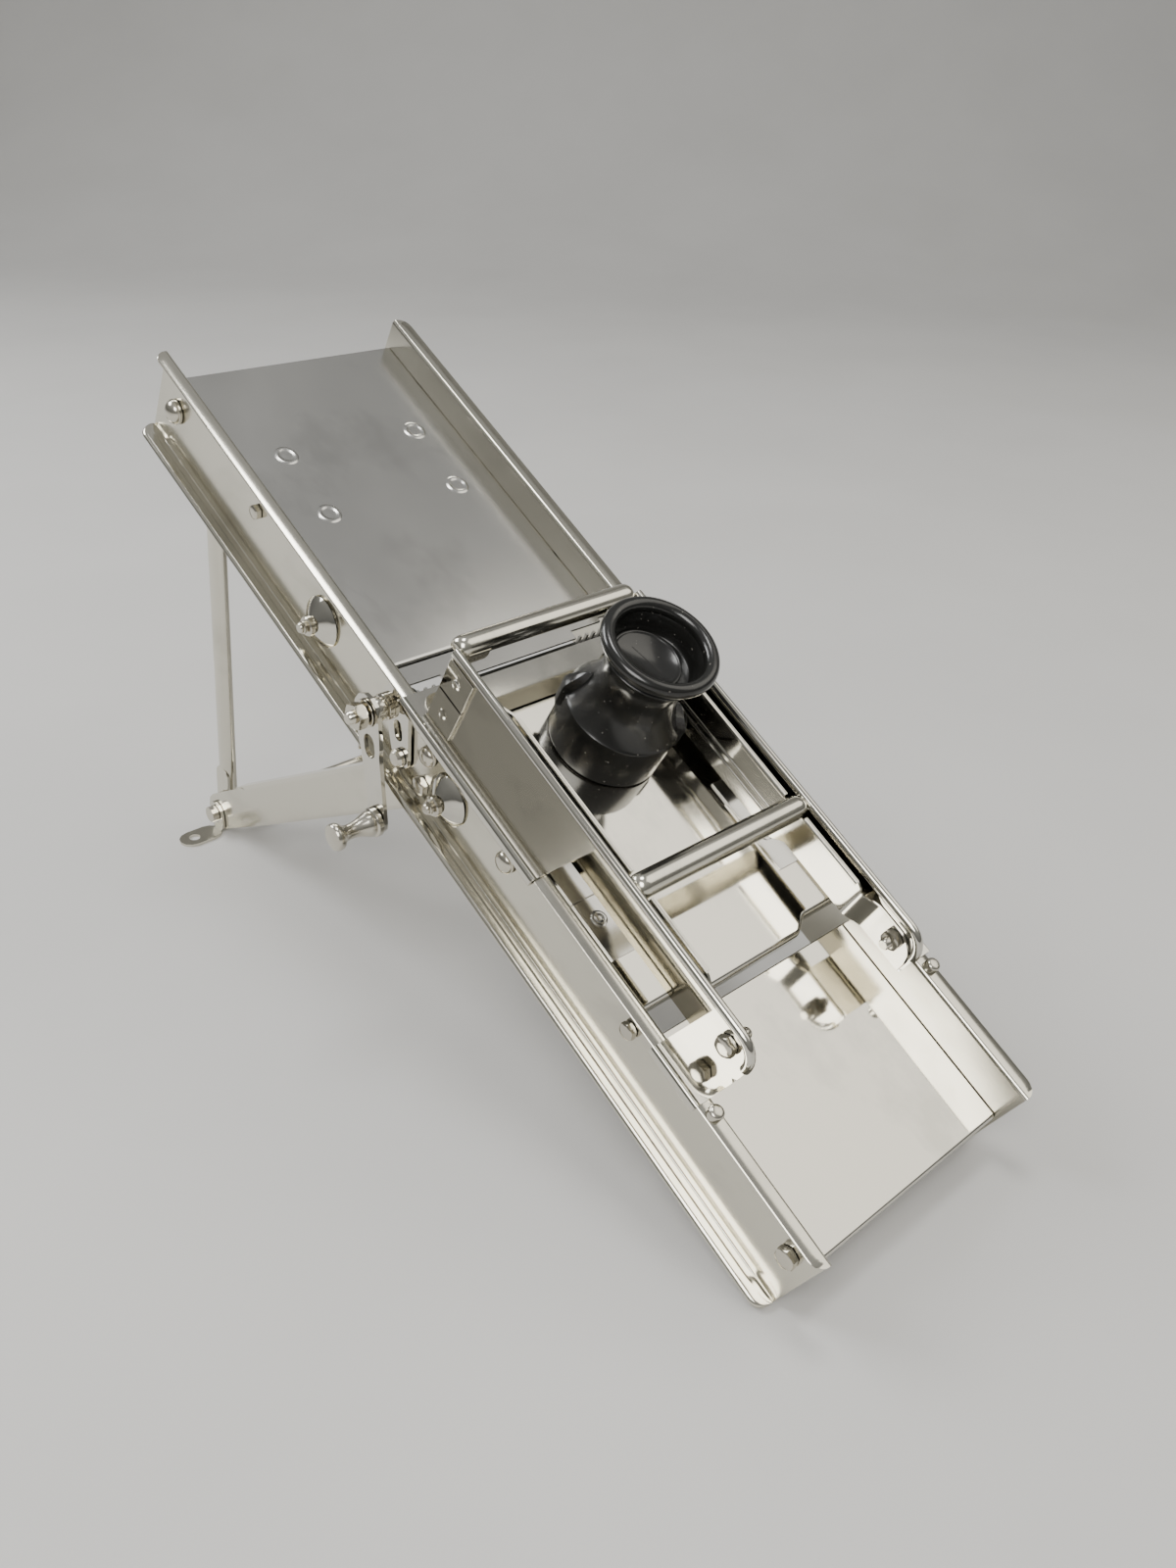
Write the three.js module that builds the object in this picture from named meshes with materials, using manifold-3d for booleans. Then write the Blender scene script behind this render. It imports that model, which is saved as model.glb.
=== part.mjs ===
// Mandoline slicer on its folded-out stand, in millimetres, +Z up.
// The deck is drawn flat (x across, y up the slope, z normal to the deck, rail tops at z = 0) and then
// leaned back by TILT. The finished part rests on z = 0 under the centre of its bounding box.
import * as THREE from 'three';
import { mergeVertices } from 'three/addons/utils/BufferGeometryUtils.js';
import Module from 'manifold-3d';

const wasm = await Module();
wasm.setup();

// ---- driving dimensions ----
const TILT = THREE.MathUtils.degToRad(29);
const GAP = 0.3;
const SHEET = 1;

const RAIL = { length: 395, webIn: 51.3, topOut: 57.8, footOut: 59.4, depth: 37, corner: 5 };
const WEB_OUT = RAIL.webIn + SHEET;
const PLATE_HALF = RAIL.webIn - 0.4;

const UPPER_PLATE = { low: 239.5, high: 393, top: -12.2 };
// The strip's lower edge steps back near its ends, where the coarse comb's fingers rise,
// and again at its ears.
const THROAT_STRIP = { low: 227.6, high: 238.8, top: -11, fingerX: 31, fingerHigh: 231.4, earHigh: 233.2 };
const BLADE = { low: 207, edge: 223.3, top: -8, thick: 1.2, half: 50.6 };
const PLATFORM = { low: 87, high: 206.4, top: -8, skirt: 6.5 };
const LOWER_PLATE = { low: 1, high: 84, top: -16.5, lip: 3 };

// Axes that cross the frame, as [y, z] in the deck frame.
const CRANK_AXIS = [225.5, -9.5];
const UPPER_AXLE = [272.5, -19.8];
const LOWER_AXLE = [189.5, -20.8];
const STAND_PIVOT = [381.5, -17.6];
const MID_ROD = [202, -28.5];
const FOOT_PIVOT = [308.2, -196.4];

const CRANK = { arm: 41, armAngle: 33.3, armX: -66.5, armThick: 1.6, tipX: -74.5, knobOut: -85 };
const COMB = { plateTop: -17, plateBottom: -27.5, offset: 3, thick: 1.2, earRadius: 3.2, earX: 46.4 };
const LEVER = { hub: 3.6, tip: 4, x0: 18, x1: 20, upperEnd: [314, -29], lowerEnd: [150, -31] };
const DISH = { radius: 9.6, height: 4.5, thick: 0.9, studX: 62.5 };
const CARRIAGE = { low: 57, high: 220.4, wall: 41.2, top: 18, roll: 1.8, floor: 0.4, hookOut: 59.6, endRound: 9 };
const CARRIAGE_FLOORS = [[57, 79], [143, 220.4]];
const CARRIAGE_BOLT = [66.5, 10.5];
const BRIDGE = { y: 222.3, z: 16.4, radius: 4.2, clipX0: -37.4, clipX1: -28.4, clipLow: 12.4 };
const CROSS_BAR = { y: 121, z: 15.6, radius: 4.4 };
const GUIDE = { x: 36.8, low: 58, bendLow: 78, bendHigh: 83, high: 191, skirt: -3, bottom: 1.6, top: 17,
  hemDeep: 2, hemIn: 0.9, hemOut: 1.3, flushTop: 14.5, tabY: 195.5, tabX: 39.2, tabDeep: 7 };
const GUIDE_NOTCH = { low: 115.8, high: 126.2, top: 15 };
const PUSHER = { x: 8.4, y: 183, base: -7.7, body: 21.5, shoulder: 11.2, neck: 14.7, neckZ: 27, lipZ: 37.4,
  ring: 18.7, tube: 2.65, ringZ: 43, cupFloor: 34.4, cupRadius: 14.5 };
const LUG = { turn: -45, wide: 7, out: 23, low: 3.5, shoulder: 14, high: 20.5 };
const STAND = { x: 38, strutWide: 11, braceWide: 19, braceDeep: 7 };
const FOOT = { wide: 12, reach: 19, hole: 2.6, thick: 1.2 };

const STEEL = { color: 0xc9c8c2, metalness: 1, roughness: 0.22 };
const DULL_STEEL = { color: 0xb5b3aa, metalness: 1, roughness: 0.36 };
const NICKEL = { color: 0xbdb8a8, metalness: 1, roughness: 0.28 };
const BLACK_PLASTIC = { color: 0x0b0b0c, metalness: 0, roughness: 0.16 };

// ---- geometry helpers ----
const X = new THREE.Vector3(1, 0, 0);
const Y = new THREE.Vector3(0, 1, 0);
const Z = new THREE.Vector3(0, 0, 1);
const basis = (a, b, c) => new THREE.Matrix4().makeBasis(a, b, c);

function shapeOf(points, holes = []) {
  const shape = new THREE.Shape(points.map(([a, b]) => new THREE.Vector2(a, b)));
  for (const [a, b, radius] of holes) {
    shape.holes.push(new THREE.Path().absarc(a, b, radius, 0, 2 * Math.PI, true));
  }
  return shape;
}

function extrude(shape, depth, curveSegments = 8) {
  return new THREE.ExtrudeGeometry(shape, { depth, curveSegments, bevelEnabled: false });
}

// Outline in (y, z), pushed along x from x0 to x1.
function prismX(points, x0, x1, holes = []) {
  return extrude(shapeOf(points, holes), x1 - x0).applyMatrix4(basis(Y, Z, X)).translate(x0, 0, 0);
}

// Outline in (x, z), pushed along y from y0 to y1.
function prismY(points, y0, y1) {
  return extrude(shapeOf(points), y1 - y0).applyMatrix4(basis(X, Z, Y.clone().negate())).translate(0, y1, 0);
}

// Outline in (x, y), pushed along z from z0 to z1.
function prismZ(points, z0, z1, holes = []) {
  return extrude(shapeOf(points, holes), z1 - z0).translate(0, 0, z0);
}

function box(x0, x1, y0, y1, z0, z1) {
  return prismZ([[x0, y0], [x1, y0], [x1, y1], [x0, y1]], z0, z1);
}

// Turned profile of [radius, along] pairs, its axis laid along +x from the origin.
function turned(profile, segments = 20) {
  const points = profile.map(([r, a]) => new THREE.Vector2(r, a));
  return new THREE.LatheGeometry(points, segments).applyMatrix4(basis(Y, X, Z.clone().negate()));
}

function rodX(x0, x1, radius, [y, z], segments = 16) {
  return turned([[0, x0], [radius, x0], [radius, x1], [0, x1]], segments).translate(0, y, z);
}

// Rounded bar outline around the line from a to b, in the plane the points are given in.
function barOutline(a, b, radiusA, radiusB, steps = 6) {
  const along = Math.atan2(b[1] - a[1], b[0] - a[0]);
  const points = [];
  for (let i = 0; i <= steps; i += 1) {
    const angle = along + Math.PI / 2 + (Math.PI * i) / steps;
    points.push([a[0] + radiusA * Math.cos(angle), a[1] + radiusA * Math.sin(angle)]);
  }
  for (let i = 0; i <= steps; i += 1) {
    const angle = along - Math.PI / 2 + (Math.PI * i) / steps;
    points.push([b[0] + radiusB * Math.cos(angle), b[1] + radiusB * Math.sin(angle)]);
  }
  return points;
}

function roundedRect(x0, y0, x1, y1, radius, steps = 4) {
  const corners = [[x1 - radius, y0 + radius, -90], [x1 - radius, y1 - radius, 0],
    [x0 + radius, y1 - radius, 90], [x0 + radius, y0 + radius, 180]];
  return corners.flatMap(([cx, cy, start]) => Array.from({ length: steps + 1 }, (_, i) => {
    const angle = THREE.MathUtils.degToRad(start + (90 * i) / steps);
    return [cx + radius * Math.cos(angle), cy + radius * Math.sin(angle)];
  }));
}

function solid(geometry) {
  const clean = mergeVertices(new THREE.BufferGeometry()
    .setAttribute('position', geometry.getAttribute('position'))
    .setIndex(geometry.index), 1e-4);
  const index = clean.index.array;
  const triVerts = [];
  for (let i = 0; i < index.length; i += 3) {
    const [a, b, c] = [index[i], index[i + 1], index[i + 2]];
    if (a !== b && b !== c && c !== a) triVerts.push(a, b, c);
  }
  const vertProperties = new Float32Array(clean.getAttribute('position').array);
  const mesh = new wasm.Mesh({ numProp: 3, vertProperties, triVerts: new Uint32Array(triVerts) });
  return new wasm.Manifold(mesh);
}

function geometryOf(body) {
  const mesh = body.getMesh();
  const geometry = new THREE.BufferGeometry();
  geometry.setAttribute('position', new THREE.BufferAttribute(new Float32Array(mesh.vertProperties), 3));
  geometry.setIndex(new THREE.BufferAttribute(new Uint32Array(mesh.triVerts), 1));
  return geometry;
}

const union = (...parts) => geometryOf(parts.map(solid).reduce((a, b) => a.add(b)));
const cut = (base, ...tools) => geometryOf(tools.map(solid).reduce((a, b) => a.subtract(b), solid(base)));
const common = (a, b) => geometryOf(solid(a).intersect(solid(b)));

function mirrored(geometry) {
  const flipped = geometry.index ? geometry.toNonIndexed() : geometry.clone();
  const position = flipped.getAttribute('position');
  for (let i = 0; i < position.count; i += 3) {
    const corners = [0, 2, 1].map((k) => new THREE.Vector3().fromBufferAttribute(position, i + k));
    corners.forEach((corner, k) => position.setXYZ(i + k, -corner.x, corner.y, corner.z));
  }
  return flipped;
}

function add(group, name, geometry, finish) {
  const shape = geometry.index ? geometry.toNonIndexed() : geometry;
  shape.deleteAttribute('uv');
  shape.computeVertexNormals();
  const mesh = new THREE.Mesh(shape, new THREE.MeshStandardMaterial(finish));
  mesh.name = name;
  group.add(mesh);
}

// The left part as drawn and its mirror image on the right.
function addPair(group, name, leftGeometry, finish) {
  add(group, `${name}_left`, leftGeometry, finish);
  add(group, `${name}_right`, mirrored(leftGeometry), finish);
}

// ---- frame ----
// Small fixings through the left web: [name, y, z, head radius, head height, head sides].
const WEB_FIXINGS = [
  ['stand_nut', ...STAND_PIVOT, 4.8, 4, 20],
  ['plate_bolt', 321.6, -12.5, 3, 2.2, 6],
  ['holder_bolt', 204.5, -14.5, 4, 3, 20],
  ['platform_bolt', 158, -14, 4.2, 3, 20],
  ['platform_pivot', 89.4, -12.2, 3.2, 2.6, 6],
  ['lower_bolt', 8.5, -14, 3.9, 3, 6],
];
const SHANK = 1.5;

function railLeft() {
  const bead = RAIL.footOut - 4.8;
  const foot = -RAIL.depth;
  const profile = [[-RAIL.webIn, 0], [-RAIL.webIn, foot], [-RAIL.footOut, foot], [-RAIL.footOut, foot + 1.4],
    [-RAIL.footOut + 0.7, foot + 2], [-bead - 0.9, foot + 2], [-bead, foot + 1], [-WEB_OUT, foot + 1],
    [-WEB_OUT, -SHEET], [-RAIL.topOut, -SHEET], [-RAIL.topOut, 0]].reverse();
  const sheet = prismY(profile, 0, RAIL.length);
  const plan = prismZ(roundedRect(-RAIL.footOut, 0, 0, RAIL.length, RAIL.corner), foot - 1, 1);
  const holes = WEB_FIXINGS.map(([, y, z]) => rodX(-60, -45, SHANK + GAP + 0.1, [y, z], 10));
  for (const axis of [UPPER_AXLE, LOWER_AXLE, MID_ROD, CRANK_AXIS]) {
    holes.push(rodX(-60, -45, 2.6, axis, 14));
  }
  return cut(common(sheet, plan), ...holes);
}

function fixing(y, z, radius, height, sides) {
  const face = WEB_OUT + GAP;
  const domed = sides > 6;
  const head = domed
    ? [[radius, face], [radius * 0.94, face + height * 0.4], [radius * 0.62, face + height * 0.85],
      [0, face + height]]
    : [[radius, face], [radius, face + height * 0.8], [radius * 0.8, face + height], [0, face + height]];
  const profile = [[0, RAIL.webIn - 0.1], [SHANK, RAIL.webIn - 0.1], [SHANK, face], ...head];
  const rightSide = turned(profile, sides === 6 ? 6 : 16);
  return mirrored(rightSide).translate(0, y, z);
}

function standPin() {
  const face = WEB_OUT + GAP;
  const inner = STAND.x - 7;
  const profile = [[0, inner], [SHANK, inner], [SHANK, face], [4.8, face], [4.6, face + 1.8],
    [3, face + 3.6], [0, face + 4.2]];
  return mirrored(turned(profile, 16)).translate(0, ...STAND_PIVOT);
}

function midRod() {
  const face = WEB_OUT + GAP;
  const nut = face + 2.8;
  const half = (s) => [[0, s * nut], [3.6, s * nut], [3.6, s * face], [2.2, s * face]];
  const profile = [...half(-1), ...half(1).reverse()];
  return turned(profile, 12).translate(0, ...MID_ROD);
}

function stopPeg() {
  const y = 52.8;
  const foot = [[0, GAP], [2.6, GAP], [2.6, 2.6], [2, 3.3], [0, 3.5]];
  const lathe = new THREE.LatheGeometry(foot.map(([r, a]) => new THREE.Vector2(r, a)), 14);
  return lathe.applyMatrix4(basis(X, Z, Y.clone().negate())).translate(-54.8, y, 0);
}

function addFrame(deck) {
  addPair(deck, 'rail', railLeft(), STEEL);
  for (const [name, y, z, radius, height, sides] of WEB_FIXINGS.slice(1)) {
    addPair(deck, name, fixing(y, z, radius, height, sides), NICKEL);
  }
  addPair(deck, 'stand_pin', standPin(), NICKEL);
  addPair(deck, 'stop_peg', stopPeg(), NICKEL);
  add(deck, 'mid_rod', midRod(), NICKEL);

  const strip = THROAT_STRIP;
  const earNotch = COMB.earX;
  const stripHalf = [[strip.fingerX, strip.low], [strip.fingerX, strip.fingerHigh],
    [earNotch, strip.fingerHigh],
    [earNotch, strip.earHigh], [PLATE_HALF, strip.earHigh], [PLATE_HALF, strip.high]];
  const stripPlan = [...stripHalf, ...stripHalf.map(([x, y]) => [-x, y]).reverse()];
  add(deck, 'throat_strip', prismZ(stripPlan, strip.top - SHEET, strip.top), STEEL);

  const { low, edge, top, thick, half } = BLADE;
  const bladeSection = [[low, top - thick], [edge - 3, top - thick], [edge, top - 0.15],
    [edge, top], [low, top]];
  const notch = (x0, x1) => box(x0, x1, edge - 1.9, edge + 2, top - 3, top + 1);
  const earCuts = [notch(earNotch, half + 1), notch(-half - 1, -earNotch)];
  const bladeCut = cut(prismX(bladeSection, -half, half), ...earCuts);
  add(deck, 'blade', bladeCut, STEEL);
  const seat = top - thick - GAP;
  const holder = [[198.5, -18.5], [210, -18.5], [210, seat - 1.5], [216, seat - 1.5], [216, seat],
    [207.2, seat], [207.2, -11.6], [198.5, -11.6]];
  add(deck, 'blade_holder', prismX(holder, -PLATE_HALF, PLATE_HALF), DULL_STEEL);

  const plate = LOWER_PLATE;
  const sheet = [[plate.low, plate.top - plate.lip], [plate.low + SHEET, plate.top - plate.lip],
    [plate.low + SHEET, plate.top - SHEET], [plate.high, plate.top - SHEET], [plate.high, plate.top],
    [plate.low, plate.top]];
  add(deck, 'lower_plate', prismX(sheet, -PLATE_HALF, PLATE_HALF), STEEL);
}

// ---- adjustable plates and their levers ----
function addPlates(deck) {
  const { low, high, top } = UPPER_PLATE;
  const lip = [[low + 2, top - 3.4], [low + 3, top - 3.2], [low + 2.4, top - 1.4], [low + 3.6, top - SHEET],
    [high, top - SHEET], [high, top], [low + 2.6, top], [low + 0.9, top - 0.7], [low, top - 2.4]];
  add(deck, 'upper_plate', prismX(lip, -PLATE_HALF, PLATE_HALF), STEEL);

  const p = PLATFORM;
  const bent = [[p.low, p.top - p.skirt], [p.low + SHEET, p.top - p.skirt], [p.low + SHEET, p.top - 2],
    [p.low + 2, p.top - SHEET], [p.high, p.top - SHEET], [p.high, p.top], [p.low + 1.4, p.top],
    [p.low + 0.3, p.top - 0.5], [p.low, p.top - 1.6]];
  add(deck, 'platform', prismX(bent, -PLATE_HALF, PLATE_HALF), STEEL);
}

function dishWasher() {
  const face = WEB_OUT + GAP;
  const { radius, height, thick } = DISH;
  const profile = [[radius, face], [radius, face + 0.5], [3.4, face + height], [2.6, face + height],
    [2.6, face + height - thick], [radius - 1.6, face]];
  profile.push(profile[0]);
  return mirrored(turned(profile, 28));
}

function frictionAxle() {
  const face = WEB_OUT + GAP + DISH.height + GAP;
  const side = [[2.2, face], [3.7, face], [3.7, face + 2.2], [1.9, face + 2.2],
    [1.9, DISH.studX], [0, DISH.studX]];
  const profile = [...side.map(([r, a]) => [r, -a]).reverse(), ...side];
  return turned(profile, 12);
}

function addLevers(deck) {
  const specs = [['upper_lever', UPPER_AXLE, LEVER.upperEnd], ['lower_lever', LOWER_AXLE, LEVER.lowerEnd]];
  for (const [name, axis, tip] of specs) {
    add(deck, `${name}_axle`, frictionAxle().translate(0, ...axis), NICKEL);
    addPair(deck, `${name}_dish`, dishWasher().translate(0, ...axis), STEEL);
    const outline = barOutline(axis, tip, LEVER.hub, LEVER.tip);
    add(deck, `${name}_arm`, prismX(outline, LEVER.x0, LEVER.x1, [[...axis, 2.2 + GAP]]), DULL_STEEL);
  }
}

// ---- julienne combs, crank and fork lever ----
function comb(side) {
  const [y, z] = CRANK_AXIS;
  const near = y + side * COMB.offset;
  const far = near + side * COMB.thick;
  const [y0, y1] = [Math.min(near, far), Math.max(near, far)];
  const { plateTop, plateBottom, earRadius } = COMB;
  const inner = PLATE_HALF - 1.3 * (side < 0 ? 2 : 1) - (side < 0 ? GAP : 0);
  const plate = box(-inner, inner, y0, y1, plateBottom, plateTop);
  const earX = inner - 1.3;
  const legEnd = [(y0 + y1) / 2, plateBottom + 2];
  const ear = (x) => prismX(barOutline([y, z], legEnd, earRadius, 2), x, x + 1.3, [[y, z, 2.2 + GAP]]);
  return union(plate, ear(-earX - 1.3), ear(earX));
}

function crankAxle() {
  const arm = CRANK.armX;
  const profile = [[0, CRANK.tipX], [2.4, CRANK.tipX], [2.4, arm - 5.4], [4.6, arm - 5.4], [4.6, arm - GAP],
    [2.6, arm - GAP], [2.6, arm + CRANK.armThick + GAP], [4.4, arm + CRANK.armThick + GAP],
    [4.4, -61.2], [3.6, -60.9], [3.6, -60.1], [4.8, -59.8], [4.8, -56], [2.2, -56], [2.2, -46.7], [0, -46.7]];
  return turned(profile, 20).translate(0, ...CRANK_AXIS);
}

function crankEnd() {
  const angle = THREE.MathUtils.degToRad(CRANK.armAngle);
  const [y, z] = CRANK_AXIS;
  return [y - CRANK.arm * Math.sin(angle), z - CRANK.arm * Math.cos(angle)];
}

function crankArm() {
  const [y, z] = CRANK_AXIS;
  const end = crankEnd();
  const mix = (t) => [y + (end[0] - y) * t, z + (end[1] - z) * t];
  const x0 = CRANK.armX;
  const x1 = x0 + CRANK.armThick;
  const head = prismX(barOutline([y, z], mix(0.3), 7, 6), x0, x1);
  const shaft = prismX(barOutline(mix(0.25), end, 5.4, 4.6), x0, x1);
  const eye = rodX(x0 - 1, x1 + 1, 2.6 + GAP, [y, z], 16);
  const slot = prismX(barOutline(mix(0.26), mix(0.34), 3, 3, 5), x0 - 1, x1 + 1);
  const pin = rodX(x0 - 1, x1 + 1, 1.8, end, 12);
  return cut(union(head, shaft), eye, slot, pin);
}

function crankKnob() {
  const inner = CRANK.armX - GAP;
  const outer = CRANK.knobOut;
  const pinEnd = CRANK.armX + CRANK.armThick + 0.8;
  const profile = [[0, outer], [4.4, outer], [5, outer + 0.7], [5, outer + 2.6], [4.4, outer + 3.4],
    [2.9, outer + 4.4], [2.7, outer + 7], [3.2, outer + 10], [4.8, inner - 3.4], [5.4, inner - 2.4],
    [5.4, inner], [1.4, inner], [1.4, pinEnd], [0, pinEnd]];
  return turned(profile, 24).translate(0, ...crankEnd());
}

function forkLever() {
  const tip = [214.5, -27];
  const outline = barOutline(CRANK_AXIS, tip, 7.2, 4.6);
  const plate = prismX(outline, -54.3, -53);
  const mix = (t) => CRANK_AXIS.map((v, i) => v + (tip[i] - v) * t);
  const slot = prismX(barOutline(mix(0.42), mix(0.6), 2.4, 2.2, 5), -56, -51);
  return cut(plate, rodX(-56, -51, 2.2 + GAP, CRANK_AXIS, 16), slot, rodX(-56, -51, 1.9, tip, 12));
}

function forkScrew() {
  const tip = [214.5, -27];
  const profile = [[0, -57.2], [2.4, -57], [3.4, -55.9], [3.4, -54.6], [1.5, -54.6],
    [1.5, -52.6], [0, -52.6]];
  return turned(profile, 16).translate(0, ...tip);
}

function addCombs(deck) {
  add(deck, 'coarse_comb', comb(1), DULL_STEEL);
  add(deck, 'fine_comb', comb(-1), DULL_STEEL);
  add(deck, 'crank_axle', crankAxle(), NICKEL);
  add(deck, 'crank_arm', crankArm(), STEEL);
  add(deck, 'crank_knob', crankKnob(), NICKEL);
  add(deck, 'fork_lever', forkLever(), STEEL);
  add(deck, 'fork_screw', forkScrew(), NICKEL);
}

// ---- carriage ----
function arc(cy, cz, radius, from, to, steps) {
  return Array.from({ length: steps + 1 }, (_, i) => {
    const angle = THREE.MathUtils.degToRad(from + ((to - from) * i) / steps);
    return [cy + radius * Math.cos(angle), cz + radius * Math.sin(angle)];
  });
}

function carriageSideLeft() {
  const { low, high, wall, top, roll, floor, hookOut, endRound } = CARRIAGE;
  const corner = arc(low + endRound, top - endRound, endRound, 180, 90, 4);
  const wallOutline = [[low + 2, floor], [high, floor], [high, top], ...corner.reverse()];
  const wallSheet = prismX(wallOutline, -wall - SHEET, -wall);
  const edge = [...arc(low + endRound, top - endRound, endRound, 175, 95, 3),
    [low + 16, top], [low + 60, top], [high, top]];
  const rollPath = new THREE.CatmullRomCurve3(edge.map(([y, z]) => new THREE.Vector3(-wall - SHEET, y, z)));
  const rolledEdge = new THREE.ExtrudeGeometry(shapeOf(arc(0, 0, roll, 0, 324, 9)),
    { steps: 24, extrudePath: rollPath, bevelEnabled: false });

  const hook = [[-wall - 0.2, floor], [-58.2, floor], [-58.4, -1.3], [-56, -1.4], [-56, -2.3], [-58.9, -2.5],
    [-hookOut, -1.5], [-hookOut, floor + 0.9], [-58.9, floor + 1.5], [-57.6, floor + 1.4],
    [-56.8, floor + SHEET], [-wall - 0.2, floor + SHEET]].reverse();
  return union(wallSheet, rolledEdge, ...CARRIAGE_FLOORS.map(([y0, y1]) => prismY(hook, y0, y1)));
}

// Upright strip beside the pusher, close to the wall. Its lower end is bent out and lies against the wall,
// its top edge is hemmed and passes under the cross bar in a notch, and its upper end has a tab bent out
// to the wall.
function guideLeft() {
  const { x, low, bendLow, bendHigh, high, skirt, bottom, top, flushTop, hemDeep, hemIn, hemOut } = GUIDE;
  const flush = CARRIAGE.wall - GAP - SHEET;
  const plan = prismZ([[-x - SHEET, high], [-x - SHEET, bendHigh + 0.4], [-flush - SHEET, bendLow + 0.4],
    [-flush - SHEET, low], [-flush, low], [-flush, bendLow], [-x, bendHigh], [-x, high]], skirt, top);
  const side = prismX([[low, 2], [low + 2, bottom], [CROSS_BAR.y - 5, bottom], [CROSS_BAR.y, skirt],
    [high + 1, skirt], [high + 1, top], [GUIDE_NOTCH.high, top], [GUIDE_NOTCH.high, GUIDE_NOTCH.top],
    [GUIDE_NOTCH.low, GUIDE_NOTCH.top], [GUIDE_NOTCH.low, top], [bendHigh + 4, top], [bendHigh, flushTop],
    [low + 8, flushTop], [low + 2, flushTop - 3], [low, flushTop - 9]], -CARRIAGE.wall, -x + 1);
  const hem = (y0, y1) => box(-x - SHEET - hemOut + 1, -x + hemIn, y0, y1, top - hemDeep, top);
  return union(common(plan, side), hem(bendHigh + 4, GUIDE_NOTCH.low), hem(GUIDE_NOTCH.high, high - 2),
    guideTab());
}

function guideTab() {
  const { x, high, top, tabX, tabY, tabDeep } = GUIDE;
  const bend = [[-x - SHEET, high - 0.5], [-x, high - 0.5], [-x - 0.4, high + 0.4],
    [-tabX, tabY + 0.4], [-tabX, tabY - 0.6], [-x - SHEET, high]];
  return prismZ(bend, top - tabDeep, top);
}

function barShell({ y, z, radius }, reach) {
  const outline = [...arc(y, z, radius, 0, 180, 12), ...arc(y, z, radius - SHEET, 180, 0, 10)];
  return prismX(outline, -reach, reach);
}

function addCarriage(deck) {
  const { wall, roll } = CARRIAGE;
  addPair(deck, 'carriage_side', carriageSideLeft(), STEEL);
  addPair(deck, 'pusher_guide', guideLeft(), STEEL);
  const reach = wall + SHEET - roll - GAP;
  const clip = box(BRIDGE.clipX0, BRIDGE.clipX1, BRIDGE.y - BRIDGE.radius, BRIDGE.y - BRIDGE.radius + SHEET,
    BRIDGE.clipLow, BRIDGE.z + 0.5);
  add(deck, 'bridge_bar', union(barShell(BRIDGE, reach), clip), STEEL);
  add(deck, 'cross_bar', barShell(CROSS_BAR, reach), STEEL);

  const seat = wall - 2 * GAP - SHEET;
  const nut = [[0, seat - 6.4], [2, seat - 6], [2, seat - 3.4], [3.2, seat - 3.4], [3.9, seat - 2.8],
    [3.9, seat], [0, seat]];
  addPair(deck, 'carriage_nut', mirrored(turned(nut, 12)).translate(0, ...CARRIAGE_BOLT), NICKEL);
  const face = wall + SHEET + GAP;
  const head = [[0, face], [3.9, face], [3.9, face + 2.5], [3, face + 3.1], [0, face + 3.1]];
  addPair(deck, 'carriage_bolt', mirrored(turned(head, 6)).translate(0, ...CARRIAGE_BOLT), NICKEL);
}

function pusherBody() {
  const p = PUSHER;
  const rim = arc(p.ring, p.ringZ, p.tube, -110, 200, 9);
  const profile = [[0, p.base], [p.body - 0.9, p.base], [p.body, p.base + 0.8], [p.body, p.shoulder - 0.5],
    [p.body - 0.7, p.shoulder], [p.neck + 1, 21], [p.neck, p.neckZ], [p.neck + 0.8, 32],
    [p.ring - 0.7, p.lipZ - 0.6], [p.ring - 0.7, p.lipZ + 0.5], ...rim, [p.cupRadius + 0.7, p.ringZ - 4],
    [p.cupRadius, p.cupFloor + 0.5],
    [p.cupRadius - 0.5, p.cupFloor], [0, p.cupFloor]];
  const lathe = new THREE.LatheGeometry(profile.map(([r, a]) => new THREE.Vector2(r, a)), 40);
  const body = lathe.applyMatrix4(basis(X, Z, Y.clone().negate()));
  const lug = (side) => {
    const root = side * (p.neck + 1);
    const outline = [[root, LUG.low], [side * LUG.out, LUG.low], [side * LUG.out, LUG.shoulder],
      [side * (LUG.out - 2.4), LUG.high - 2], [root, LUG.high]];
    return prismY(side > 0 ? outline : outline.reverse(), -LUG.wide / 2, LUG.wide / 2)
      .rotateZ(THREE.MathUtils.degToRad(LUG.turn));
  };
  return union(body, lug(-1), lug(1)).translate(p.x, p.y, 0);
}

// ---- stand ----
function along(a, b, t) {
  return [a[0] + (b[0] - a[0]) * t, a[1] + (b[1] - a[1]) * t];
}

// Open half tube, its flat back towards -x, running from a to b in the deck plane.
function channelBetween(a, b, outline) {
  const length = Math.hypot(b[0] - a[0], b[1] - a[1]);
  const angle = Math.atan2(b[1] - a[1], b[0] - a[0]);
  const bar = extrude(shapeOf(outline), length).applyMatrix4(basis(X, Z.clone().negate(), Y));
  return bar.rotateX(angle).translate(0, ...a);
}

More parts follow.
